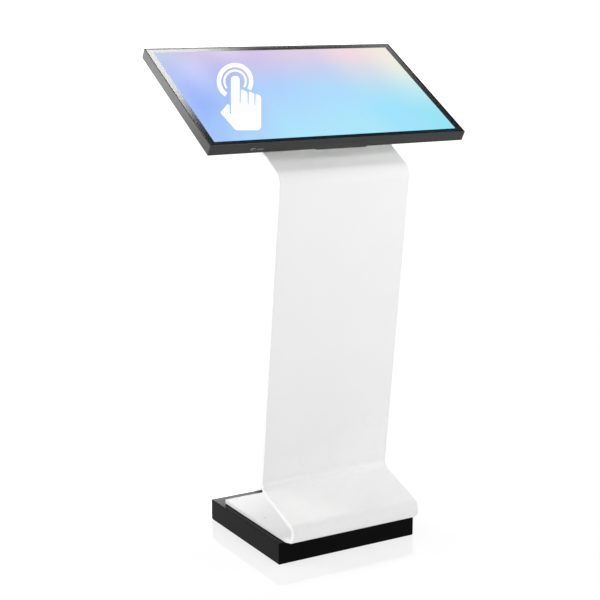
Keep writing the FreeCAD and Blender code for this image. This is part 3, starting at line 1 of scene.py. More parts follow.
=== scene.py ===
from math import cos, pi, radians, sin, tau

import bmesh
import bpy
import numpy
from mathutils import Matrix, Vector


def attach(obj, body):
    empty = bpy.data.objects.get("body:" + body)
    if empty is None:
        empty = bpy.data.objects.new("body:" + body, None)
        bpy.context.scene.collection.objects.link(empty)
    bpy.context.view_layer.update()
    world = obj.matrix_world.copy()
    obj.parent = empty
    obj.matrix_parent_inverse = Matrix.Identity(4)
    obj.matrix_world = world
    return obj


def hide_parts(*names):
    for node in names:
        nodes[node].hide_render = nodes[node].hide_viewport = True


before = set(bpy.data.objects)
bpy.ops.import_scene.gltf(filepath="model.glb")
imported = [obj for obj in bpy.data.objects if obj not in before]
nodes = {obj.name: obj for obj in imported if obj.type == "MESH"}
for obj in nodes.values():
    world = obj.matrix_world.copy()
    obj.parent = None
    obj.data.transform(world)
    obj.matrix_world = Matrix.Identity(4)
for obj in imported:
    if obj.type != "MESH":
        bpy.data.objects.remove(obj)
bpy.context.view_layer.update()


# Camera: it stands in front of the kiosk, to its left, a little above the screen,
# and looks down at the column.

TURN, DROP = radians(-30.279), radians(12.089)
CAMERA_PLACE = (-1.859868, -3.127434, 1.406726)
LENS_MM, GATE_MM = 85.421, 36.0

toward_camera = Vector((sin(TURN) * cos(DROP), -cos(TURN) * cos(DROP), sin(DROP)))
lens = bpy.data.cameras.new("lens")
lens.lens, lens.sensor_width = LENS_MM, GATE_MM
camera = bpy.data.objects.new("camera", lens)
camera.location = CAMERA_PLACE
camera.rotation_euler = (-toward_camera).to_track_quat("-Z", "Y").to_euler()
bpy.context.scene.collection.objects.link(camera)
bpy.context.scene.camera = camera


# Plinth: a box folded and welded from 2.5 mm sheet steel, open underneath.
# It is powder-coated black, so its faces are smooth with a very fine orange peel.

class Amount:
    """A number that varies over a surface: Python sums on it add Math nodes to its finish."""

    def __init__(self, finish, socket):
        self.finish, self.socket = finish, socket

    def _math(self, operation, *terms):
        return self.finish.node("ShaderNodeMath", {"operation": operation}, dict(enumerate(terms)))

    def __add__(self, other):
        return self._math("ADD", self, other)

    def __sub__(self, other):
        return self._math("SUBTRACT", self, other)

    def __rsub__(self, other):
        return self._math("SUBTRACT", other, self)

    def __mul__(self, other):
        return self._math("MULTIPLY", self, other)

    def __lt__(self, other):
        return self._math("LESS_THAN", self, other)

    def __gt__(self, other):
        return self._math("GREATER_THAN", self, other)

    def __mod__(self, other):
        return self._math("FLOORED_MODULO", self, other)

    def __abs__(self):
        return self._math("ABSOLUTE", self)

    __radd__, __rmul__ = __add__, __mul__


class Finish:
    """One surface finish: a Principled shader and the nodes that vary it from place to place."""

    def __init__(self, name, steady):
        self.material = bpy.data.materials.new(name)
        self.material.use_nodes = True
        self.tree = self.material.node_tree
        self.shader = self.tree.nodes["Principled BSDF"]
        self.give(steady)

    def give(self, sockets):
        """Feeds sockets of the shader by name."""
        for name, value in sockets.items():
            self.feed(self.shader.inputs[name], value)

    def feed(self, socket, value):
        """Links an amount that varies to a socket, or sets a steady value on it."""
        if isinstance(value, Amount):
            self.tree.links.new(value.socket, socket)
        else:
            socket.default_value = value

    def node(self, kind, settings, sockets, out=0):
        """Any other node: its type, its settings, then the values or links of its sockets."""
        made = self.tree.nodes.new(kind)
        for name, value in settings.items():
            if name == "stops":
                stops = made.color_ramp.elements
                while len(stops) < len(value):
                    stops.new(1.0)
                for stop, (place, colour) in zip(stops, value):
                    stop.position, stop.color = place, colour
            elif name == "ramp":
                made.color_ramp.interpolation = value
            else:
                setattr(made, name, value)
        for name, value in sockets.items():
            self.feed(made.inputs[name], value)
        return Amount(self, made.outputs[out])

    def spot(self):
        """The place on the object, in metres."""
        return self.node("ShaderNodeTexCoord", {}, {}, "Object")

    def along(self, direction):
        """How far the place lies along a direction, in metres."""
        return self.node("ShaderNodeVectorMath", {"operation": "DOT_PRODUCT"},
                         {0: self.spot(), 1: direction}, "Value")

    def grain(self, size, detail=2.0, stretch=(1.0, 1.0, 1.0)):
        """Cloudy noise between 0 and 1, with clouds about size metres across."""
        place = self.node("ShaderNodeVectorMath", {"operation": "MULTIPLY"},
                          {0: self.spot(), 1: tuple(share / size for share in stretch)})
        return self.node("ShaderNodeTexNoise", {}, {
            "Vector": place, "Scale": 1.0, "Detail": detail})

    def mix(self, share, first, second):
        """From one colour to another as share goes from 0 to 1."""
        return self.node("ShaderNodeMix", {"data_type": "RGBA"}, {0: share, 6: first, 7: second}, 2)

    def relief(self, height, depth):
        """A surface that stands up by depth metres where height is 1."""
        return self.node("ShaderNodeBump", {}, {"Height": height, "Distance": depth})


def paint(level, tint=(1.0, 1.0, 1.0)):
    """A colour from how light it is, 0 to 1, and a tint."""
    return (*(level * part for part in tint), 1.0)


def dress(finish, *names):
    """Gives CAD nodes a finish."""
    for name in names:
        materials = nodes[name].data.materials
        for at in range(len(materials)):
            materials[at] = finish.material


black_coat = Finish("black_powder_coat", {"Specular IOR Level": 0.04})
cloud = black_coat.grain(0.09)
black_coat.give({
    "Base Color": black_coat.mix(cloud, paint(0.0012), paint(0.0024)),
    "Roughness": cloud * 0.05 + 0.20,
    "Normal": black_coat.relief(black_coat.grain(0.0014), 0.00001),
})
dress(black_coat, "plinth_shell")


# Ballast: two flat steel bars that lie on the plinth's floor, sawn to length and
# left with a thin coat of black primer over mill scale.

primer = Finish("black_primer", {"Specular IOR Level": 0.35})
scale_patches = primer.grain(0.03, 6.0)
primer.give({
    "Base Color": primer.mix(scale_patches, paint(0.012), paint(0.035, (1.0, 0.95, 0.9))),
    "Roughness": scale_patches * 0.25 + 0.45,
    "Normal": primer.relief(primer.grain(0.004, 5.0), 0.00012),
})
dress(primer, "ballast_bars")


# Galvanised sheet: the plinth's floor, the backlight tray, the chassis, the mounting plate
# and the frame's corner brackets are pressed from it and stay bare, with zinc spangle.

ZINC = (0.97, 0.99, 1.0)
zinc_sheet = Finish("galvanised_sheet", {"Metallic": 1.0})
crystals = zinc_sheet.node("ShaderNodeTexVoronoi", {}, {
    "Vector": zinc_sheet.spot(), "Scale": 130.0}, "Color")
spangle = zinc_sheet.node("ShaderNodeVectorMath", {"operation": "DOT_PRODUCT"},
                          {0: crystals, 1: (0.5, 0.3, 0.2)}, "Value")
zinc_sheet.give({
    "Base Color": zinc_sheet.mix(spangle, paint(0.42, ZINC), paint(0.62, ZINC)),
    "Roughness": spangle * 0.18 + 0.32,
    "Normal": zinc_sheet.relief(zinc_sheet.grain(0.0009), 0.000008),
})
dress(zinc_sheet, "plinth_floor", "backlight_tray", "chassis_plate", "mounting_plate",
      "corner_brackets")


# Posts and the door's hinge: turned or pressed from steel and then zinc-plated, so they are
# bright with a faint blue cast and fine turning marks.

PLATED = (0.95, 0.98, 1.0)
zinc_plate = Finish("zinc_plating", {"Metallic": 1.0})
turning = zinc_plate.grain(0.0012, 3.0)
zinc_plate.give({
    "Base Color": zinc_plate.mix(turning, paint(0.52, PLATED), paint(0.66, PLATED)),
    "Roughness": turning * 0.15 + 0.24,
    "Normal": zinc_plate.relief(turning, 0.000012),
})
dress(zinc_plate, "plate_posts", "board_posts", "door_hinge")


# Screws: pan heads with a hexagon recess, cold-formed and zinc-plated. They hold the plinth's
# floor, the stand's covers, the rear housing and the mounting plate.

SAME_PLACE, SAME_HEIGHT = 1e-6, 1e-4


def seats(node, head_t):
    """The frame of each screw of a node: +Z points out of its head, from the head's underside."""
    bm = bmesh.new()
    bm.from_mesh(nodes[node].data)
    bmesh.ops.remove_doubles(bm, verts=bm.verts, dist=SAME_PLACE)
    found = []
    for first in bm.verts:
        if first.tag:
            continue
        first.tag, joined = True, [first]
        for vert in joined:
            for edge in vert.link_edges:
                other = edge.other_vert(vert)
                if not other.tag:
                    other.tag = True
                    joined.append(other)
        points = numpy.array([tuple(vert.co) for vert in joined])
        middle = (points.min(axis=0) + points.max(axis=0)) / 2
        spread, ways = numpy.linalg.eigh(numpy.cov((points - middle).T))
        axis = ways[:, 2] if spread[2] - spread[1] > spread[1] - spread[0] else ways[:, 0]
        heights = (points - middle) @ axis
        reach = numpy.linalg.norm(points - middle - numpy.outer(heights, axis), axis=1)
        at_top = heights > heights.max() - SAME_HEIGHT
        at_foot = heights < heights.min() + SAME_HEIGHT
        if reach[at_top].max() < reach[at_foot].max():
            axis, heights = -axis, -heights
        frame_of = Vector(axis).to_track_quat("Z", "Y").to_matrix().to_4x4()
        centre = points[heights > heights.max() - SAME_HEIGHT].mean(axis=0)
        frame_of.translation = Vector(centre) - Vector(axis) * head_t
        found.append(frame_of)
    bm.free()
    return found


SIDES = 24


def add_turned(bm, place, rings):
    """A turned form: rings of (radius, height, corners), where a ring with corners is a polygon."""
    loops = []
    for radius, height, corners in rings:
        loop = []
        for step in range(SIDES):
            angle = tau * step / SIDES
            reach = radius
            if corners:
                half = pi / corners
                reach = radius * cos(half) / cos(angle % (2 * half) - half)
            point = Vector((reach * cos(angle), reach * sin(angle), height))
            loop.append(bm.verts.new(place @ point))
        loops.append(loop)
    for low, high in zip(loops, loops[1:]):
        for at in range(SIDES):
            after = (at + 1) % SIDES
            bm.faces.new((low[at], low[after], high[after], high[at]))
    bm.faces.new(list(reversed(loops[0])))
    bm.faces.new(loops[-1])


SHARP_EDGE = radians(35.0)


def add_piece(name, bm, finish, body, stands_for=()):
    """Makes an object from a mesh under construction, smooth except over its sharp edges."""
    mesh = bpy.data.meshes.new(name)
    bm.normal_update()
    bm.to_mesh(mesh)
    bm.free()
    mesh.shade_smooth()
    mesh.set_sharp_from_angle(angle=SHARP_EDGE)
    mesh.materials.append(finish.material)
    piece = bpy.data.objects.new(name, mesh)
    bpy.context.scene.collection.objects.link(piece)
    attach(piece, body)
    if stands_for:
        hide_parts(*stands_for)


# Shares of a screw's own sizes: its tip, the rings of its domed head, and its recess's taper.
TIP_R, TIP_L, RECESS_TAPER = 0.7, 0.3, 0.94
HEXAGON = 6
DOME = ((1.0, 0.38), (0.94, 0.68), (0.8, 0.9), (0.62, 1.0))


def add_screws(name, node, head, shank, recess):
    """Domed screws in the seats of a node. Head, shank and recess are (radius, length)."""
    (head_r, head_t), (shank_r, shank_l), (recess_r, recess_t) = head, shank, recess
    bm = bmesh.new()
    for place in seats(node, head_t):
        add_turned(bm, place, (
            (shank_r * TIP_R, -shank_l, 0), (shank_r, -shank_l + shank_r * TIP_L, 0),
            (shank_r, 0.0, 0), (head_r, 0.0, 0),
            *((head_r * wide, head_t * high, 0) for wide, high in DOME),
            (recess_r, head_t, HEXAGON), (recess_r * RECESS_TAPER, head_t - recess_t, HEXAGON),
        ))
    add_piece(name, bm, zinc_plate, "kiosk", (node,))


add_screws("floor_screw_set", "floor_screws",
           head=(0.0046, 0.0016), shank=(0.0025, 0.016), recess=(0.0016, 0.0011))
add_screws("housing_screw_set", "housing_screws",
           head=(0.0036, 0.0018), shank=(0.002, 0.003), recess=(0.0013, 0.0012))
add_screws("mounting_screw_set", "mounting_screws",
           head=(0.0055, 0.0035), shank=(0.003, 0.014), recess=(0.0022, 0.0022))


# Foot mat: a die-cut sheet of black rubber glued under the plinth, so that the kiosk
# doesn't slide or scratch the floor. Its face has a fine moulded grain.

rubber = Finish("black_rubber", {"Specular IOR Level": 0.3})
dust = rubber.grain(0.02, 5.0)
rubber.give({
    "Base Color": rubber.mix(dust, paint(0.013), paint(0.024, (1.0, 0.98, 0.95))),
    "Roughness": dust * 0.15 + 0.72,
    "Normal": rubber.relief(rubber.grain(0.0011, 3.0), 0.00006),
})
dress(rubber, "foot_mat", "lead_grommets")


# Inlet, rocker and network socket: injection-moulded in black plastic with a spark-eroded
# face, pressed into the plinth's rear wall. Pins and contacts are plated metal.

def moulded(name, level, roughness):
    """Moulded plastic: a fine even grain, and a little difference in shine."""
    plastic = Finish(name, {})
    sheen = plastic.grain(0.015)
    plastic.give({
        "Base Color": plastic.mix(sheen, paint(level * 0.9), paint(level * 1.1)),
        "Roughness": sheen * 0.08 + (roughness - 0.04),
        "Normal": plastic.relief(plastic.grain(0.0006), 0.00001),
    })
    return plastic


def bare_metal(finish, mask, colour, shine):
    """Turns a finish into bare metal where mask is 1."""
    base = finish.shader.inputs["Base Color"].links[0].from_socket
    rough = finish.shader.inputs["Roughness"].links[0].from_socket
    finish.give({
        "Base Color": finish.mix(mask, Amount(finish, base), colour),
        "Metallic": mask,
        "Roughness": Amount(finish, rough) * (1 - mask) + mask * shine,
    })


black_plastic = moulded("black_plastic", 0.018, 0.48)
gloss_plastic = moulded("gloss_black_plastic", 0.011, 0.18)

ACROSS, BACK, UP = (1.0, 0.0, 0.0), (0.0, 1.0, 0.0), (0.0, 0.0, 1.0)
PIN_X, PIN_Z, PIN_STEP, PIN_RISE = -0.005, 0.0275, 0.007, 0.002
PIN_HALF_W, PIN_HALF_H, PIN_ROOT, PIN_END = 0.00105, 0.00205, 0.1726, 0.1869
TINNED = paint(0.7, (1.0, 0.98, 0.93))
inlet_plastic = moulded("inlet_plastic", 0.02, 0.5)
across, back, up = (inlet_plastic.along(way) for way in (ACROSS, BACK, UP))


def on_pin(x, z):
    """1 inside the outline of the flat pin at x and z."""
    return (abs(across - x) < PIN_HALF_W) * (abs(up - z) < PIN_HALF_H)


pins = (on_pin(PIN_X, PIN_Z + PIN_RISE) + on_pin(PIN_X - PIN_STEP, PIN_Z - PIN_RISE)
        + on_pin(PIN_X + PIN_STEP, PIN_Z - PIN_RISE))
bare_metal(inlet_plastic, pins * (back < PIN_END) * (back > PIN_ROOT), TINNED, 0.25)
dress(inlet_plastic, "mains_inlet")
dress(black_plastic, "network_socket")
dress(gloss_plastic, "mains_rocker")

gold = Finish("gold_plating", {"Metallic": 1.0})
wiped = gold.grain(0.002)
gold.give({
    "Base Color": gold.mix(wiped, paint(0.9, (1.0, 0.72, 0.32)), paint(0.95, (1.0, 0.78, 0.4))),
    "Roughness": wiped * 0.15 + 0.18,
})


def add_strip(bm, line, across, thick):
    """A flat spring of metal along a line of points, as wide as across and thick metres deep."""
    half = Vector(across) / 2
    rings = []
    for at, point in enumerate(line):
        ahead = line[min(at + 1, len(line) - 1)] - line[max(at - 1, 0)]
        deep = ahead.cross(half).normalized() * thick / 2
        rings.append([bm.verts.new(point + side * half + turn * deep)
                      for side, turn in ((-1, -1), (1, -1), (1, 1), (-1, 1))])
    for low, high in zip(rings, rings[1:]):
        for at in range(4):
            after = (at + 1) % 4
            bm.faces.new((low[at], low[after], high[after], high[at]))
    bm.faces.new(list(reversed(rings[0])))
    bm.faces.new(rings[-1])


SOCKET_X, WIRES, WIRE_STEP, WIRE_W, WIRE_T = 0.035, 8, 0.00102, 0.00042, 0.0003
WIRE_BOW = ((0.1776, 0.0248), (0.1792, 0.0256), (0.1812, 0.0264),
            (0.1836, 0.0272), (0.1860, 0.0279), (0.1884, 0.0284))
bm = bmesh.new()
for wire in range(WIRES):
    x = SOCKET_X + (wire - (WIRES - 1) / 2) * WIRE_STEP
    add_strip(bm, [Vector((x, y, z)) for y, z in WIRE_BOW], (WIRE_W, 0.0, 0.0), WIRE_T)
add_piece("network_contacts", bm, gold, "kiosk")

ROCKER_X, MARK_RISE, MARK_T, MARK_STEPS = -0.0274, 0.00003, 0.00002, 40
OFF_RING, ON_LINE_HALF_W, ON_LINE_HALF_L = (0.00105, 0.0015), 0.00024, 0.0014
# Each half of the rocker's face: its middle, and the way up it.
ROCKER_LOW = (Vector((0.0, 0.18943, 0.0225)), Vector((0.0, 0.0023, 1.0)).normalized())
ROCKER_HIGH = (Vector((0.0, 0.190925, 0.03091)), Vector((0.0, 0.3405, 0.9402)))


def on_rocker(face, across, up):
    """A point just off one half of the rocker's face."""
    middle, rise = face
    out = Vector(ACROSS).cross(rise) * -1
    return middle + Vector((ROCKER_X + across, 0.0, 0.0)) + rise * up + out * MARK_RISE


bm = bmesh.new()
turns = [tau * step / MARK_STEPS for step in range(MARK_STEPS)]
inside, outside = ([bm.verts.new(on_rocker(ROCKER_LOW, radius * cos(turn), radius * sin(turn)))
                    for turn in turns] for radius in OFF_RING)
for at in range(MARK_STEPS):
    after = (at + 1) % MARK_STEPS
    bm.faces.new((inside[at], outside[at], outside[after], inside[after]))
on_line = []
for turn in turns:
    end = ON_LINE_HALF_L if turn < pi else -ON_LINE_HALF_L
    point = on_rocker(ROCKER_HIGH, ON_LINE_HALF_W * cos(turn), ON_LINE_HALF_W * sin(turn) + end)
    on_line.append(bm.verts.new(point))
bm.faces.new(on_line)
bmesh.ops.solidify(bm, geom=bm.faces[:], thickness=MARK_T)
pad_print = moulded("white_pad_print", 0.8, 0.45)
add_piece("rocker_marks", bm, pad_print, "mains_rocker")


# Power supply: a closed module in a folded aluminium case with slots, screwed to the
# plinth's floor. The sheet keeps its rolled grain under a clear passivation.

case_sheet = Finish("passivated_aluminium", {"Metallic": 1.0})
rolled = case_sheet.grain(0.0009, 3.0, (1.0, 0.02, 1.0))
case_sheet.give({
    "Base Color": case_sheet.mix(rolled, paint(0.55), paint(0.68, (1.0, 1.0, 0.97))),
    "Roughness": rolled * 0.16 + 0.30,
    "Normal": case_sheet.relief(rolled, 0.00001),
})
dress(case_sheet, "power_supply")


# Leads: the mains wires in the plinth, and the power and data leads that climb the stand.
# Each has a smooth extruded sheath that shows the lay of the cores inside.

def sheathed(name, colour, deep):
    """Extruded cable sheath."""
    sheath = Finish(name, {"Specular IOR Level": 0.4})
    lay = sheath.grain(0.006, 2.0)
    sheath.give({
        "Base Color": sheath.mix(lay, colour, deep),
        "Roughness": lay * 0.12 + 0.38,
        "Normal": sheath.relief(lay, 0.00012),
    })
    return sheath


dress(sheathed("black_sheath", paint(0.014), paint(0.022)), "mains_wires", "power_lead")
BLUE, DEEP_BLUE = paint(0.32, (0.16, 0.42, 1.0)), paint(0.26, (0.14, 0.38, 1.0))
dress(sheathed("blue_sheath", BLUE, DEEP_BLUE), "data_lead")


# Lead clips: saddles moulded in nylon and glued along the leads. They keep the natural milky
# colour, which light goes into a little.

nylon = Finish("natural_nylon", {
    "Subsurface Weight": 0.25, "Subsurface Radius": (0.004, 0.003, 0.002)})
milk = nylon.grain(0.008)
nylon.give({
    "Base Color": nylon.mix(milk, paint(0.62, (1.0, 0.98, 0.92)), paint(0.7, (1.0, 0.98, 0.93))),
    "Roughness": milk * 0.1 + 0.42,
    "Normal": nylon.relief(nylon.grain(0.0008), 0.00001),
})
dress(nylon, "lead_clips")


# Stand: one strip of 2 mm sheet steel, folded along its sides and bent into foot, column
# and support, with lift-off covers behind. All of it is powder-coated white.

white_coat = Finish("white_powder_coat", {"Specular IOR Level": 0.3})
cloud = white_coat.grain(0.16)
white_coat.give({
    "Base Color": white_coat.mix(cloud, paint(0.835), paint(0.865, (1.0, 1.0, 0.998))),
    "Roughness": cloud * 0.08 + 0.44,
    "Normal": white_coat.relief(white_coat.grain(0.0013, 3.0), 0.000014),
})
dress(white_coat, "stand_skin", "foot_liner", "column_cover", "support_cover", "base_bushes")
add_screws("cover_screw_set", "cover_screws",
           head=(0.0036, 0.0022), shank=(0.002, 0.006), recess=(0.0013, 0.0014))


# Base screws: four countersunk steel screws that pull the stand's foot down onto the plinth.
# Their heads are painted with the stand, so they hardly show.

dress(white_coat, "base_screws")


# Stiffeners, panel channels and heat sink: aluminium bars bonded inside the stand, channels
# that hold the panel, and fins. All are extruded and left bare, with die lines along them.

LINE_W, LINE_RATE = 0.0007, 6.0
COLUMN_UP = (0.0, -0.12, 0.993)
BARE_DARK, BARE_LIGHT = paint(0.6), paint(0.74)


def extruded(name, direction, dark, light, roughness):
    """Extruded metal with fine lines along a direction."""
    metal = Finish(name, {"Metallic": 1.0})
    way = Vector(direction).normalized()
    side = way.orthogonal().normalized()
    place = metal.node("ShaderNodeCombineXYZ", {}, {
        0: metal.along(side) * (1 / LINE_W), 1: metal.along(way.cross(side)) * (1 / LINE_W),
        2: metal.along(way) * LINE_RATE})
    lines = metal.node("ShaderNodeTexNoise", {}, {"Vector": place, "Scale": 1.0, "Detail": 2.0})
    metal.give({
        "Base Color": metal.mix(lines, dark, light),
        "Roughness": lines * 0.12 + (roughness - 0.06),
        "Normal": metal.relief(lines, 0.000006),
    })
    return metal


dress(extruded("bare_aluminium_upright", COLUMN_UP, BARE_DARK, BARE_LIGHT, 0.34),
      "stiffener_bars")
dress(extruded("bare_aluminium_cross", ACROSS, BARE_DARK, BARE_LIGHT, 0.34),
      "panel_channels", "heat_sink")


# Head frame: four extruded aluminium rails, mitred and joined by brackets inside, and
# anodised dark grey. The die lines run along each rail. The hump under its middle is
# moulded in gloss black plastic.

HEAD_UP = Vector((0.0, 0.861718, 0.507388))
HEAD_OUT = Vector((0.0, -0.507388, 0.861718))
RAIL_DARK, RAIL_LIGHT = paint(0.048, (1.0, 0.99, 0.98)), paint(0.066, (1.0, 0.99, 0.98))
dress(extruded("anodised_cross_rail", ACROSS, RAIL_DARK, RAIL_LIGHT, 0.36),
      "rail_top", "rail_bottom")
dress(extruded("anodised_side_rail", HEAD_UP, RAIL_DARK, RAIL_LIGHT, 0.36),
      "rail_left", "rail_right")
dress(gloss_plastic, "sensor_bar")


# Cover glass: 4 mm toughened clear glass with ground edges, bedded on black foam tape. Its
# border is printed on the back with black ceramic ink, and the touch film is laminated there.

glass = Finish("clear_glass", {
    "Base Color": paint(1.0, (0.985, 1.0, 0.992)), "Transmission Weight": 1.0, "IOR": 1.38})
glass.give({"Roughness": glass.grain(0.05) * 0.004})
dress(glass, "cover_glass")

ink = Finish("black_ceramic_ink", {"Metallic": 1.0})
screened = ink.grain(0.0007)
ink.give({
    "Base Color": ink.mix(screened, paint(0.14), paint(0.17)),
    "Roughness": screened * 0.02 + 0.05,
})

# Half widths, and places up the screen from the middle of the head, in the glass's own plane.
LIT_X, LIT_LOW, LIT_HIGH = 0.34885, -0.1940, 0.1910
GLASS_X, GLASS_LOW, GLASS_HIGH = 0.36565, -0.20955, 0.2056
HEAD_MIDDLE = Vector((0.0, 0.0251, 1.17))


def on_head(x, s, depth):
    """A point of the head from its place across, up the screen and down from the glass's face."""
    return HEAD_MIDDLE + Vector((x, 0.0, 0.0)) + HEAD_UP * s - HEAD_OUT * depth


CORNER_STEPS = 6


def rounded_corner(x, y, across, up, first, radius):
    """Points round a corner that lies on the across and up side, from a first angle."""
    turns = (first + pi / 2 * step / CORNER_STEPS for step in range(CORNER_STEPS + 1))
    return [(x - across * radius + radius * cos(turn), y - up * radius + radius * sin(turn))
            for turn in turns]


def rectangle(x0, x1, y0, y1, radius):
    """A rectangle with rounded corners, anticlockwise."""
    corners = ((x1, y1, 1, 1, 0.0), (x0, y1, -1, 1, pi / 2),
               (x0, y0, -1, -1, pi), (x1, y0, 1, -1, 1.5 * pi))
    return [point for corner in corners for point in rounded_corner(*corner, radius)]


EDGE_BACK, PRINT_TOP, PRINT_BACK = 0.0005, 0.0037, 0.0039
PRINT_CORNER, LIT_CORNER = 0.001, 0.0008
bm = bmesh.new()
outer = rectangle(-GLASS_X + EDGE_BACK, GLASS_X - EDGE_BACK,
                  GLASS_LOW + EDGE_BACK, GLASS_HIGH - EDGE_BACK, PRINT_CORNER)
inner = rectangle(-LIT_X, LIT_X, LIT_LOW, LIT_HIGH, LIT_CORNER)
rings = [[bm.verts.new(on_head(x, s, depth)) for x, s in outline] for outline, depth in (
    (inner, PRINT_TOP), (outer, PRINT_TOP), (outer, PRINT_BACK), (inner, PRINT_BACK))]
for at, ring in enumerate(rings):
    following = rings[(at + 1) % len(rings)]
    for step in range(len(ring)):
        after = (step + 1) % len(ring)
        bm.faces.new((ring[step], following[step], following[after], ring[after]))
add_piece("glass_print", bm, ink, "kiosk")

foam = Finish("black_foam_tape", {"Specular IOR Level": 0.2})
cells = foam.node("ShaderNodeTexVoronoi", {}, {"Vector": foam.spot(), "Scale": 1800.0}, "Distance")
foam.give({
    "Base Color": foam.mix(cells, paint(0.008), paint(0.02)),
    "Roughness": cells * 0.1 + 0.8,
    "Normal": foam.relief(cells, 0.00008),
})
dress(foam, "glass_gasket")

film = Finish("touch_film", {"Base Color": paint(1.0), "Transmission Weight": 1.0, "IOR": 1.0})
film.give({"Roughness": film.grain(0.02) * 0.003})
dress(film, "touch_film")


# Display cell: the liquid-crystal panel, two thin sheets of glass with a black polariser in
# front. The picture that it shows lies close behind the touch film: a soft gradient from
# lavender and cream at the top to blue and cyan at the bottom.

cell = Finish("black_polariser", {"Specular IOR Level": 0.3})
cell.give({
    "Base Color": cell.mix(cell.grain(0.02), paint(0.004), paint(0.006)),
    "Roughness": cell.grain(0.03) * 0.04 + 0.12,
})
dress(cell, "lcd_cell")


def glow(red, green, blue):
    """A colour from the parts that a display is sent, each 0 to 255, off the display's curve."""
    parts = [(part / 255 / 12.92) if part < 10.3 else ((part / 255 + 0.055) / 1.055) ** 2.4
             for part in (red, green, blue)]
    return (*parts, 1.0)


picture = Finish("lit_screen", {
    "Base Color": paint(0.0), "Specular IOR Level": 0.0, "Emission Strength": 1.12})
picture.give({"Roughness": picture.grain(0.02) * 0.1 + 0.3})
aside = picture.along(ACROSS)
rise = picture.along(tuple(HEAD_UP)) - HEAD_MIDDLE.dot(HEAD_UP)
rise_share = (rise - LIT_LOW) * (1 / (LIT_HIGH - LIT_LOW))
# The colours at six places across the picture, each from the bottom up at the shares in LEVELS.
COLUMNS = (
    (-0.34, ((162, 194, 246), (150, 182, 247), (125, 151, 223), (124, 148, 206), (142, 156, 195))),
    (-0.24, ((169, 209, 246), (165, 194, 243), (166, 188, 242), (165, 168, 220), (162, 147, 196))),
    (-0.11, ((171, 223, 248), (171, 214, 247), (172, 204, 249), (192, 196, 234), (207, 191, 230))),
    (0.08, ((170, 226, 245), (171, 221, 248), (174, 214, 246), (197, 204, 236), (219, 203, 225))),
    (0.22, ((160, 222, 246), (160, 223, 248), (187, 220, 238), (215, 217, 228), (239, 213, 221))),
    (0.34, ((148, 223, 240), (166, 226, 240), (203, 232, 234), (230, 231, 222), (234, 226, 215))),
)
LEVELS = (0.04, 0.30, 0.56, 0.78, 0.97)
for at, (where, colours) in enumerate(COLUMNS):
    stops = [(level, glow(*colour)) for level, colour in zip(LEVELS, colours)]
    column = picture.node("ShaderNodeValToRGB", {"ramp": "CARDINAL", "stops": stops},
                          {"Fac": rise_share})
    if at:
        share = picture.node("ShaderNodeMapRange", {"interpolation_type": "SMOOTHSTEP"}, {
            "Value": aside, "From Min": COLUMNS[at - 1][0], "From Max": where})
        column = picture.mix(share, shown, column)
    shown = column
picture.give({"Emission Color": shown})

PICTURE_DEPTH, PICTURE_T, PICTURE_OVER = 0.00385, 0.00004, 0.0005
bm = bmesh.new()
outline = rectangle(-LIT_X - PICTURE_OVER, LIT_X + PICTURE_OVER,
                    LIT_LOW - PICTURE_OVER, LIT_HIGH + PICTURE_OVER, LIT_CORNER)
bm.faces.new([bm.verts.new(on_head(x, s, PICTURE_DEPTH)) for x, s in outline])
bmesh.ops.solidify(bm, geom=bm.faces[:], thickness=PICTURE_T)
add_piece("lit_picture", bm, picture, "kiosk")


# Tap sign: a white pointing hand with two rings round its fingertip, shown by the screen.
# It leans on the panel, so that it looks upright to a visitor who comes from the left.

SIGN_DEPTH, SIGN_T = 0.00375, 0.00003
RING_STEPS, BEND_STEPS, LEAST_SLOPE = 64, 6, 0.2
# How the upright sign, drawn about its fingertip, is laid on the panel.
LEAN = (0.002829076, 0.002206238, -0.180875, -0.0001671927, 0.004346495, 0.0529811,
        -0.0003556347, -0.001043581)
# Each ring: its radius, its stroke, and the angles where it starts and ends.
RINGS = ((16.1, 4.3, -30.0, 236.5), (10.7, 2.0, -34.0, 219.7))
# The hand's corners, each with the radius that softens it.
HAND = (
    (-4.1, -32.8, 0.4), (-4.1, 5.3, 4.25), (4.6, 5.3, 4.25), (4.6, -22.4, 0.3),
    (5.5, -22.4, 0.3), (6.0, -8.0, 0.8), (12.4, -10.6, 2.6), (12.6, -23.4, 0.3),
    (13.5, -23.4, 0.3), (13.9, -10.2, 0.8), (19.3, -12.4, 2.6), (19.3, -24.2, 0.3),
    (20.2, -24.2, 0.3), (20.7, -12.6, 0.8), (26.1, -14.4, 4.6), (26.1, -49.0, 4.8),
    (0.8, -49.0, 5.0), (-14.6, -31.4, 1.4), (-7.3, -22.6, 1.2), (-5.5, -24.0, 0.6),
    (-5.3, -32.8, 0.4),
)


def softened(corners):
    """A closed outline from corners that each have their own radius."""
    outline = []
    for at, (x, y, radius) in enumerate(corners):
        corner = Vector((x, y))
        before = (Vector(corners[at - 1][:2]) - corner).normalized()
        after = (Vector(corners[(at + 1) % len(corners)][:2]) - corner).normalized()
        half = before.angle(after) / 2
        reach = radius / max(LEAST_SLOPE, abs(sin(half) / cos(half)))
        start, end = corner + before * reach, corner + after * reach
        outline += [start * (1 - t) ** 2 + corner * 2 * t * (1 - t) + end * t * t
                    for t in (step / BEND_STEPS for step in range(BEND_STEPS + 1))]
    return outline


def leaning(u, v):
    """Where a point of the upright sign lies on the panel."""
    x_u, x_v, x_0, s_u, s_v, s_0, far_u, far_v = LEAN
    far = far_u * u + far_v * v + 1
    return on_head((x_u * u + x_v * v + x_0) / far, (s_u * u + s_v * v + s_0) / far, SIGN_DEPTH)


def arc(bm, radius, turns):
    """Points round the fingertip."""
    return [bm.verts.new(leaning(radius * cos(turn), radius * sin(turn))) for turn in turns]


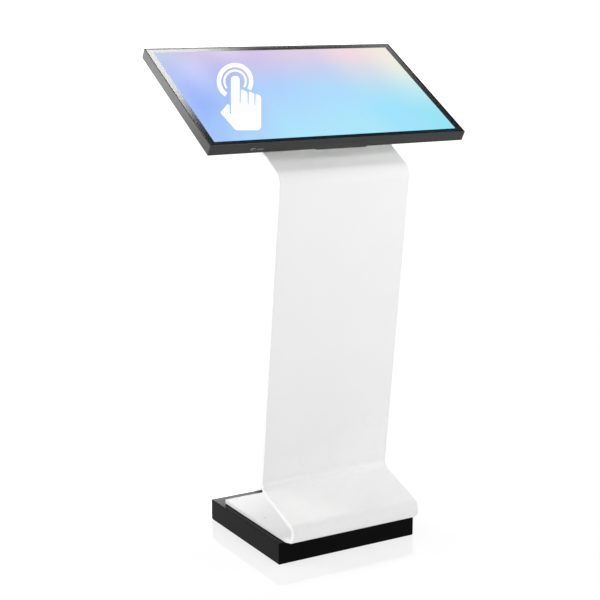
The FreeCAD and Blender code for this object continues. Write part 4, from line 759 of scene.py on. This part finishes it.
bm = bmesh.new()
bm.faces.new([bm.verts.new(leaning(*point)) for point in softened(HAND)])
for radius, stroke, first, last in RINGS:
    turns = [radians(first + (last - first) * step / RING_STEPS) for step in range(RING_STEPS + 1)]
    inside, outside = arc(bm, radius - stroke / 2, turns), arc(bm, radius + stroke / 2, turns)
    for at in range(RING_STEPS):
        bm.faces.new((inside[at], outside[at], outside[at + 1], inside[at + 1]))
bmesh.ops.solidify(bm, geom=bm.faces[:], thickness=SIGN_T)
sign_light = Finish("white_sign", {
    "Base Color": paint(0.0), "Roughness": 0.4, "Emission Strength": 1.13})
sign_light.give({"Emission Color": sign_light.mix(sign_light.grain(0.01), paint(0.98), paint(1.0))})
add_piece("tap_sign", bm, sign_light, "kiosk")


# Display module behind the cell: a moulded holder, diffuser sheets, an acrylic light guide
# with printed dots, and a strip of white LEDs along its bottom edge.

dress(black_plastic, "panel_holder")

sheets = Finish("diffuser_sheet", {"Subsurface Weight": 0.2})
pearl = sheets.grain(0.03)
sheets.give({
    "Base Color": sheets.mix(pearl, paint(0.86), paint(0.9)),
    "Roughness": pearl * 0.1 + 0.35,
})
dress(sheets, "optical_sheets")

DOT_RATE, DOT_R = 500.0, 0.3
acrylic = Finish("clear_acrylic", {"Transmission Weight": 0.85, "IOR": 1.49})
dots = acrylic.node("ShaderNodeTexVoronoi", {}, {
    "Vector": acrylic.spot(), "Scale": DOT_RATE, "Randomness": 0.1}, "Distance") < DOT_R
acrylic.give({
    "Base Color": acrylic.mix(dots, paint(0.96), paint(0.85)),
    "Roughness": dots * 0.5 + 0.04,
})
dress(acrylic, "light_guide")

LED_STEP, LED_MIDDLE, LED_HALF = 0.0085, 0.004, 0.0015
strip = moulded("white_led_strip", 0.8, 0.4)
on_led = abs(strip.along(ACROSS) % LED_STEP - LED_MIDDLE) < LED_HALF
strip.give({"Base Color": strip.mix(on_led, paint(0.82), paint(0.72, (1.0, 0.86, 0.3)))})
dress(strip, "led_bar")


# Circuit boards: green laminate with copper tracks under the mask, black packages, plated
# sockets and cans. They stand on posts behind the chassis plate.

BOARD_FACE, SOCKETS_FROM, NOWHERE = 0.03205, 0.2505, 9.0
TRACK_STEP, TRACK_W = 0.0021, 0.0007
PAD_RATE, PAD_R, TRACKS_FROM = 220.0, 0.16, 0.45


def laminate(name, face, metal_from):
    """A populated board in the head: bare up to depth face, packages deeper than that, and
    packages of plated metal further to the right than metal_from."""
    board = Finish(name, {"Specular IOR Level": 0.5})
    x = board.along(ACROSS)
    s = board.along(tuple(HEAD_UP)) - HEAD_MIDDLE.dot(HEAD_UP)
    low = HEAD_MIDDLE.dot(HEAD_OUT) - board.along(tuple(HEAD_OUT))
    place = board.node("ShaderNodeCombineXYZ", {}, {0: x, 1: s})
    from_pad = board.node("ShaderNodeTexVoronoi", {"distance": "MANHATTAN"}, {
        "Vector": place, "Scale": PAD_RATE}, "Distance")
    lanes = (x % TRACK_STEP < TRACK_W) * (from_pad > TRACKS_FROM)
    pads = from_pad < PAD_R
    green = board.mix(lanes, paint(0.1, (0.12, 0.75, 0.3)), paint(0.15, (0.2, 1.0, 0.42)))
    green = board.mix(pads, green, paint(0.6, (1.0, 0.95, 0.8)))
    above = low > face
    plated = above * (x > metal_from)
    body = board.mix(board.grain(0.01), paint(0.014), paint(0.03))
    board.give({
        "Base Color": board.mix(plated, board.mix(above, green, body), paint(0.62)),
        "Metallic": plated,
        "Roughness": above * 0.15 + 0.3,
        "Normal": board.relief(lanes * (1 - above), 0.00004),
    })
    return board


dress(laminate("main_laminate", BOARD_FACE, NOWHERE), "main_board", "touch_controller")
dress(laminate("computer_laminate", BOARD_FACE, SOCKETS_FROM), "computer_board")


# Cooler and speakers: a fan in a moulded frame over the heat sink, and two speakers in closed
# boxes. All are moulded in black plastic, the rotor in a slightly glossier one.

dress(black_plastic, "fan_housing", "speakers")
dress(moulded("fan_plastic", 0.026, 0.36), "fan_rotor")


# Keys: a small board behind the bottom rail carries the button, the rocking volume key
# and a data port in a bright pressed shell with four gold-plated contacts.

PORT_X, PORT_HALF, PORT_MARGIN = -0.2491, 0.0066, 0.0001
keys_board = laminate("key_laminate", NOWHERE, NOWHERE)
in_shell = abs(keys_board.along(ACROSS) - PORT_X) < PORT_HALF + PORT_MARGIN
bare_metal(keys_board, in_shell, paint(0.6), 0.22)
dress(keys_board, "key_board")
dress(moulded("black_button", 0.007, 0.36), "power_button")
dress(moulded("grey_key", 0.11, 0.4), "volume_key")

CONTACT_PLACES, CONTACT_W, CONTACT_T = (-0.0035, -0.001, 0.001, 0.0035), 0.001, 0.0002
CONTACT_FROM, CONTACT_L, CONTACT_DEPTH = -0.2098, 0.0108, 0.01712
# The bow of each contact: a share of its length, and how far it stands in.
CONTACT_BOW = ((0.0, 0.0), (0.12, 0.0002), (0.24, 0.0003), (0.36, 0.0002), (0.5, 0.0), (1.0, 0.0))
bm = bmesh.new()
for offset in CONTACT_PLACES:
    line = [on_head(PORT_X + offset, CONTACT_FROM + CONTACT_L * share, CONTACT_DEPTH + bow)
            for share, bow in CONTACT_BOW]
    add_strip(bm, line, (CONTACT_W, 0.0, 0.0), CONTACT_T)
add_piece("usb_contacts", bm, gold, "kiosk")


# Rear housing, with its service door: folded sheet steel with vents, painted grey with a
# fine texture and screwed to the head from behind.

grey_paint = Finish("grey_textured_paint", {"Specular IOR Level": 0.35})
texture = grey_paint.grain(0.0012, 3.0)
grey_paint.give({
    "Base Color": grey_paint.mix(grey_paint.grain(0.12), paint(0.075), paint(0.088)),
    "Roughness": texture * 0.15 + 0.5,
    "Normal": grey_paint.relief(texture, 0.00005),
})
dress(grey_paint, "rear_housing", "service_door")


# Cam lock: a die-cast barrel fixed in the service door, with a core that turns in it. Both
# have a bright chromium plate.

chrome = Finish("chromium_plate", {"Metallic": 1.0})
haze = chrome.grain(0.003)
chrome.give({
    "Base Color": chrome.mix(haze, paint(0.68), paint(0.74, (0.98, 0.99, 1.0))),
    "Roughness": haze * 0.08 + 0.08,
})
dress(chrome, "lock_body", "lock_core")


# Studio: a seamless white floor with a slight sheen, under a white surround that is dark
# overhead and behind, where the glass looks, but for one softbox in a corner of the glass.

FLOOR_REACH = 40.0
bm = bmesh.new()
bm.faces.new([bm.verts.new((x * FLOOR_REACH, y * FLOOR_REACH, 0.0))
              for x, y in ((-1, -1), (1, -1), (1, 1), (-1, 1))])
ground = Finish("studio_floor", {
    "Base Color": paint(0.2), "Roughness": 0.03, "Specular IOR Level": 0.37,
    "Emission Color": paint(1.0), "Emission Strength": 0.752})
mesh = bpy.data.meshes.new("studio_floor")
bm.to_mesh(mesh)
bm.free()
mesh.materials.append(ground.material)
floor = bpy.data.objects.new("studio_floor", mesh)
bpy.context.scene.collection.objects.link(floor)

world = bpy.data.worlds.new("surround")
world.use_nodes = True
bpy.context.scene.world = world


class Surround(Finish):
    """The light that comes from far away, by direction."""

    def __init__(self, surround):
        self.tree = surround.node_tree
        self.shader = self.tree.nodes["Background"]

    def fade(self, value, start, end):
        """Goes smoothly from 0 to 1 while value goes from start to end."""
        return self.node("ShaderNodeMapRange", {"interpolation_type": "SMOOTHSTEP"}, {
            "Value": value, "From Min": start, "From Max": end})


around = Surround(world)
toward = around.node("ShaderNodeTexCoord", {}, {}, "Generated")


def facing(direction):
    """The cosine of the angle between where the light comes from and a direction."""
    return around.node("ShaderNodeVectorMath", {"operation": "DOT_PRODUCT"},
                       {0: toward, 1: direction}, "Value")


SKY_LIGHT, FRONT_LOSS, SIDE_LOSS, SOFTBOX_LIGHT = 1.1, 0.85, 0.5, 3.8
CEILING_LIGHT, CEILING_REAR_LIGHT, CEILING_EDGE_LIGHT = 0.06, 0.16, 1.05
SOFTBOX_WAY = (0.406, 0.418, 0.812)
aside, ahead, above = facing(ACROSS), facing(BACK), facing(UP)

# The ceiling over the kiosk and behind it is dark, a little lighter to the rear, and white
# beyond a slanting edge to the right. The softbox has one straight edge and fades at the rest.
dark_ceiling = around.fade(above, 0.42, 0.68) * around.fade(ahead, -0.1, 0.25)
ceiling_glow = (around.fade(ahead, 0.33, 0.39) * CEILING_REAR_LIGHT
                + around.fade(aside + ahead * 1.3, 1.015, 1.06) * CEILING_EDGE_LIGHT
                + CEILING_LIGHT)
softbox = (around.fade(ahead * 26.5 - aside * 28.5, -3.2, -1.8)
           * around.fade(facing(SOFTBOX_WAY), 0.975, 0.992) * SOFTBOX_LIGHT)

# High up in front the sky is dim, and so is the right side above the horizon, so that the
# lights below shape the white coat.
front_sky = around.fade(above, 0.08, 0.28) * (1 - around.fade(ahead, -0.35, -0.05))
dim_side = (around.fade(aside + ahead * 0.4, 0.2, 0.8) * around.fade(above, 0.03, 0.12)
            * (1 - dark_ceiling) * SIDE_LOSS)
around.give({
    "Strength": (SKY_LIGHT - dark_ceiling * (SKY_LIGHT - ceiling_glow) - front_sky * FRONT_LOSS
                 - dim_side + softbox),
    "Color": paint(1.0),
})


# Lights: four soft panels shape the white coat, two narrow beams light the support under the
# head and the slope of the foot, and a strip and a card show only as shine on the black parts.

def add_panel(name, size, power, place, aim, gloss_only=False, spread=180.0):
    """A light, wide by high, that throws within spread degrees. It shows only in gloss, or
    everywhere but there."""
    panel = bpy.data.lights.new(name, "AREA")
    panel.shape, panel.energy, panel.spread = "RECTANGLE", power, radians(spread)
    panel.size, panel.size_y = size
    stand = bpy.data.objects.new(name, panel)
    stand.location = place
    stand.rotation_euler = (Vector(aim) - Vector(place)).to_track_quat("-Z", "Y").to_euler()
    stand.visible_glossy = gloss_only
    stand.visible_camera = stand.visible_diffuse = not gloss_only
    bpy.context.scene.collection.objects.link(stand)


add_panel("high_panel", (1.0, 1.0), 24.0, (0.6, -2.4, 2.8), (0.0, -0.15, 1.03))
add_panel("left_panel", (1.4, 1.4), 8.0, (-2.6, -2.2, 1.6), (0.0, 0.0, 0.9))
add_panel("right_panel", (1.0, 1.0), 27.0, (2.4, -0.9, 1.3), (0.0, -0.15, 0.9))
add_panel("rear_panel", (1.0, 1.0), 28.0, (-2.0, 1.2, 1.6), (0.0, 0.0, 0.3))
add_panel("beam", (0.5, 0.08), 0.215, (-0.9, -2.2, 1.25), (0.0, -0.2, 1.10), spread=6.0)
add_panel("foot_beam", (0.5, 0.08), 0.03, (0.9, -2.2, 1.6), (0.08, -0.17, 0.21), spread=5.0)
add_panel("side_strip", (0.3, 0.3), 0.8, (-0.70, 0.857, 1.16), (-0.368, 0.133, 1.2),
          gloss_only=True)
add_panel("low_card", (0.3, 0.3), 1.25, (0.0, 0.62, 0.10), (-0.15, 0.18, 0.057),
          gloss_only=True)

bpy.context.scene.view_settings.view_transform = "Standard"
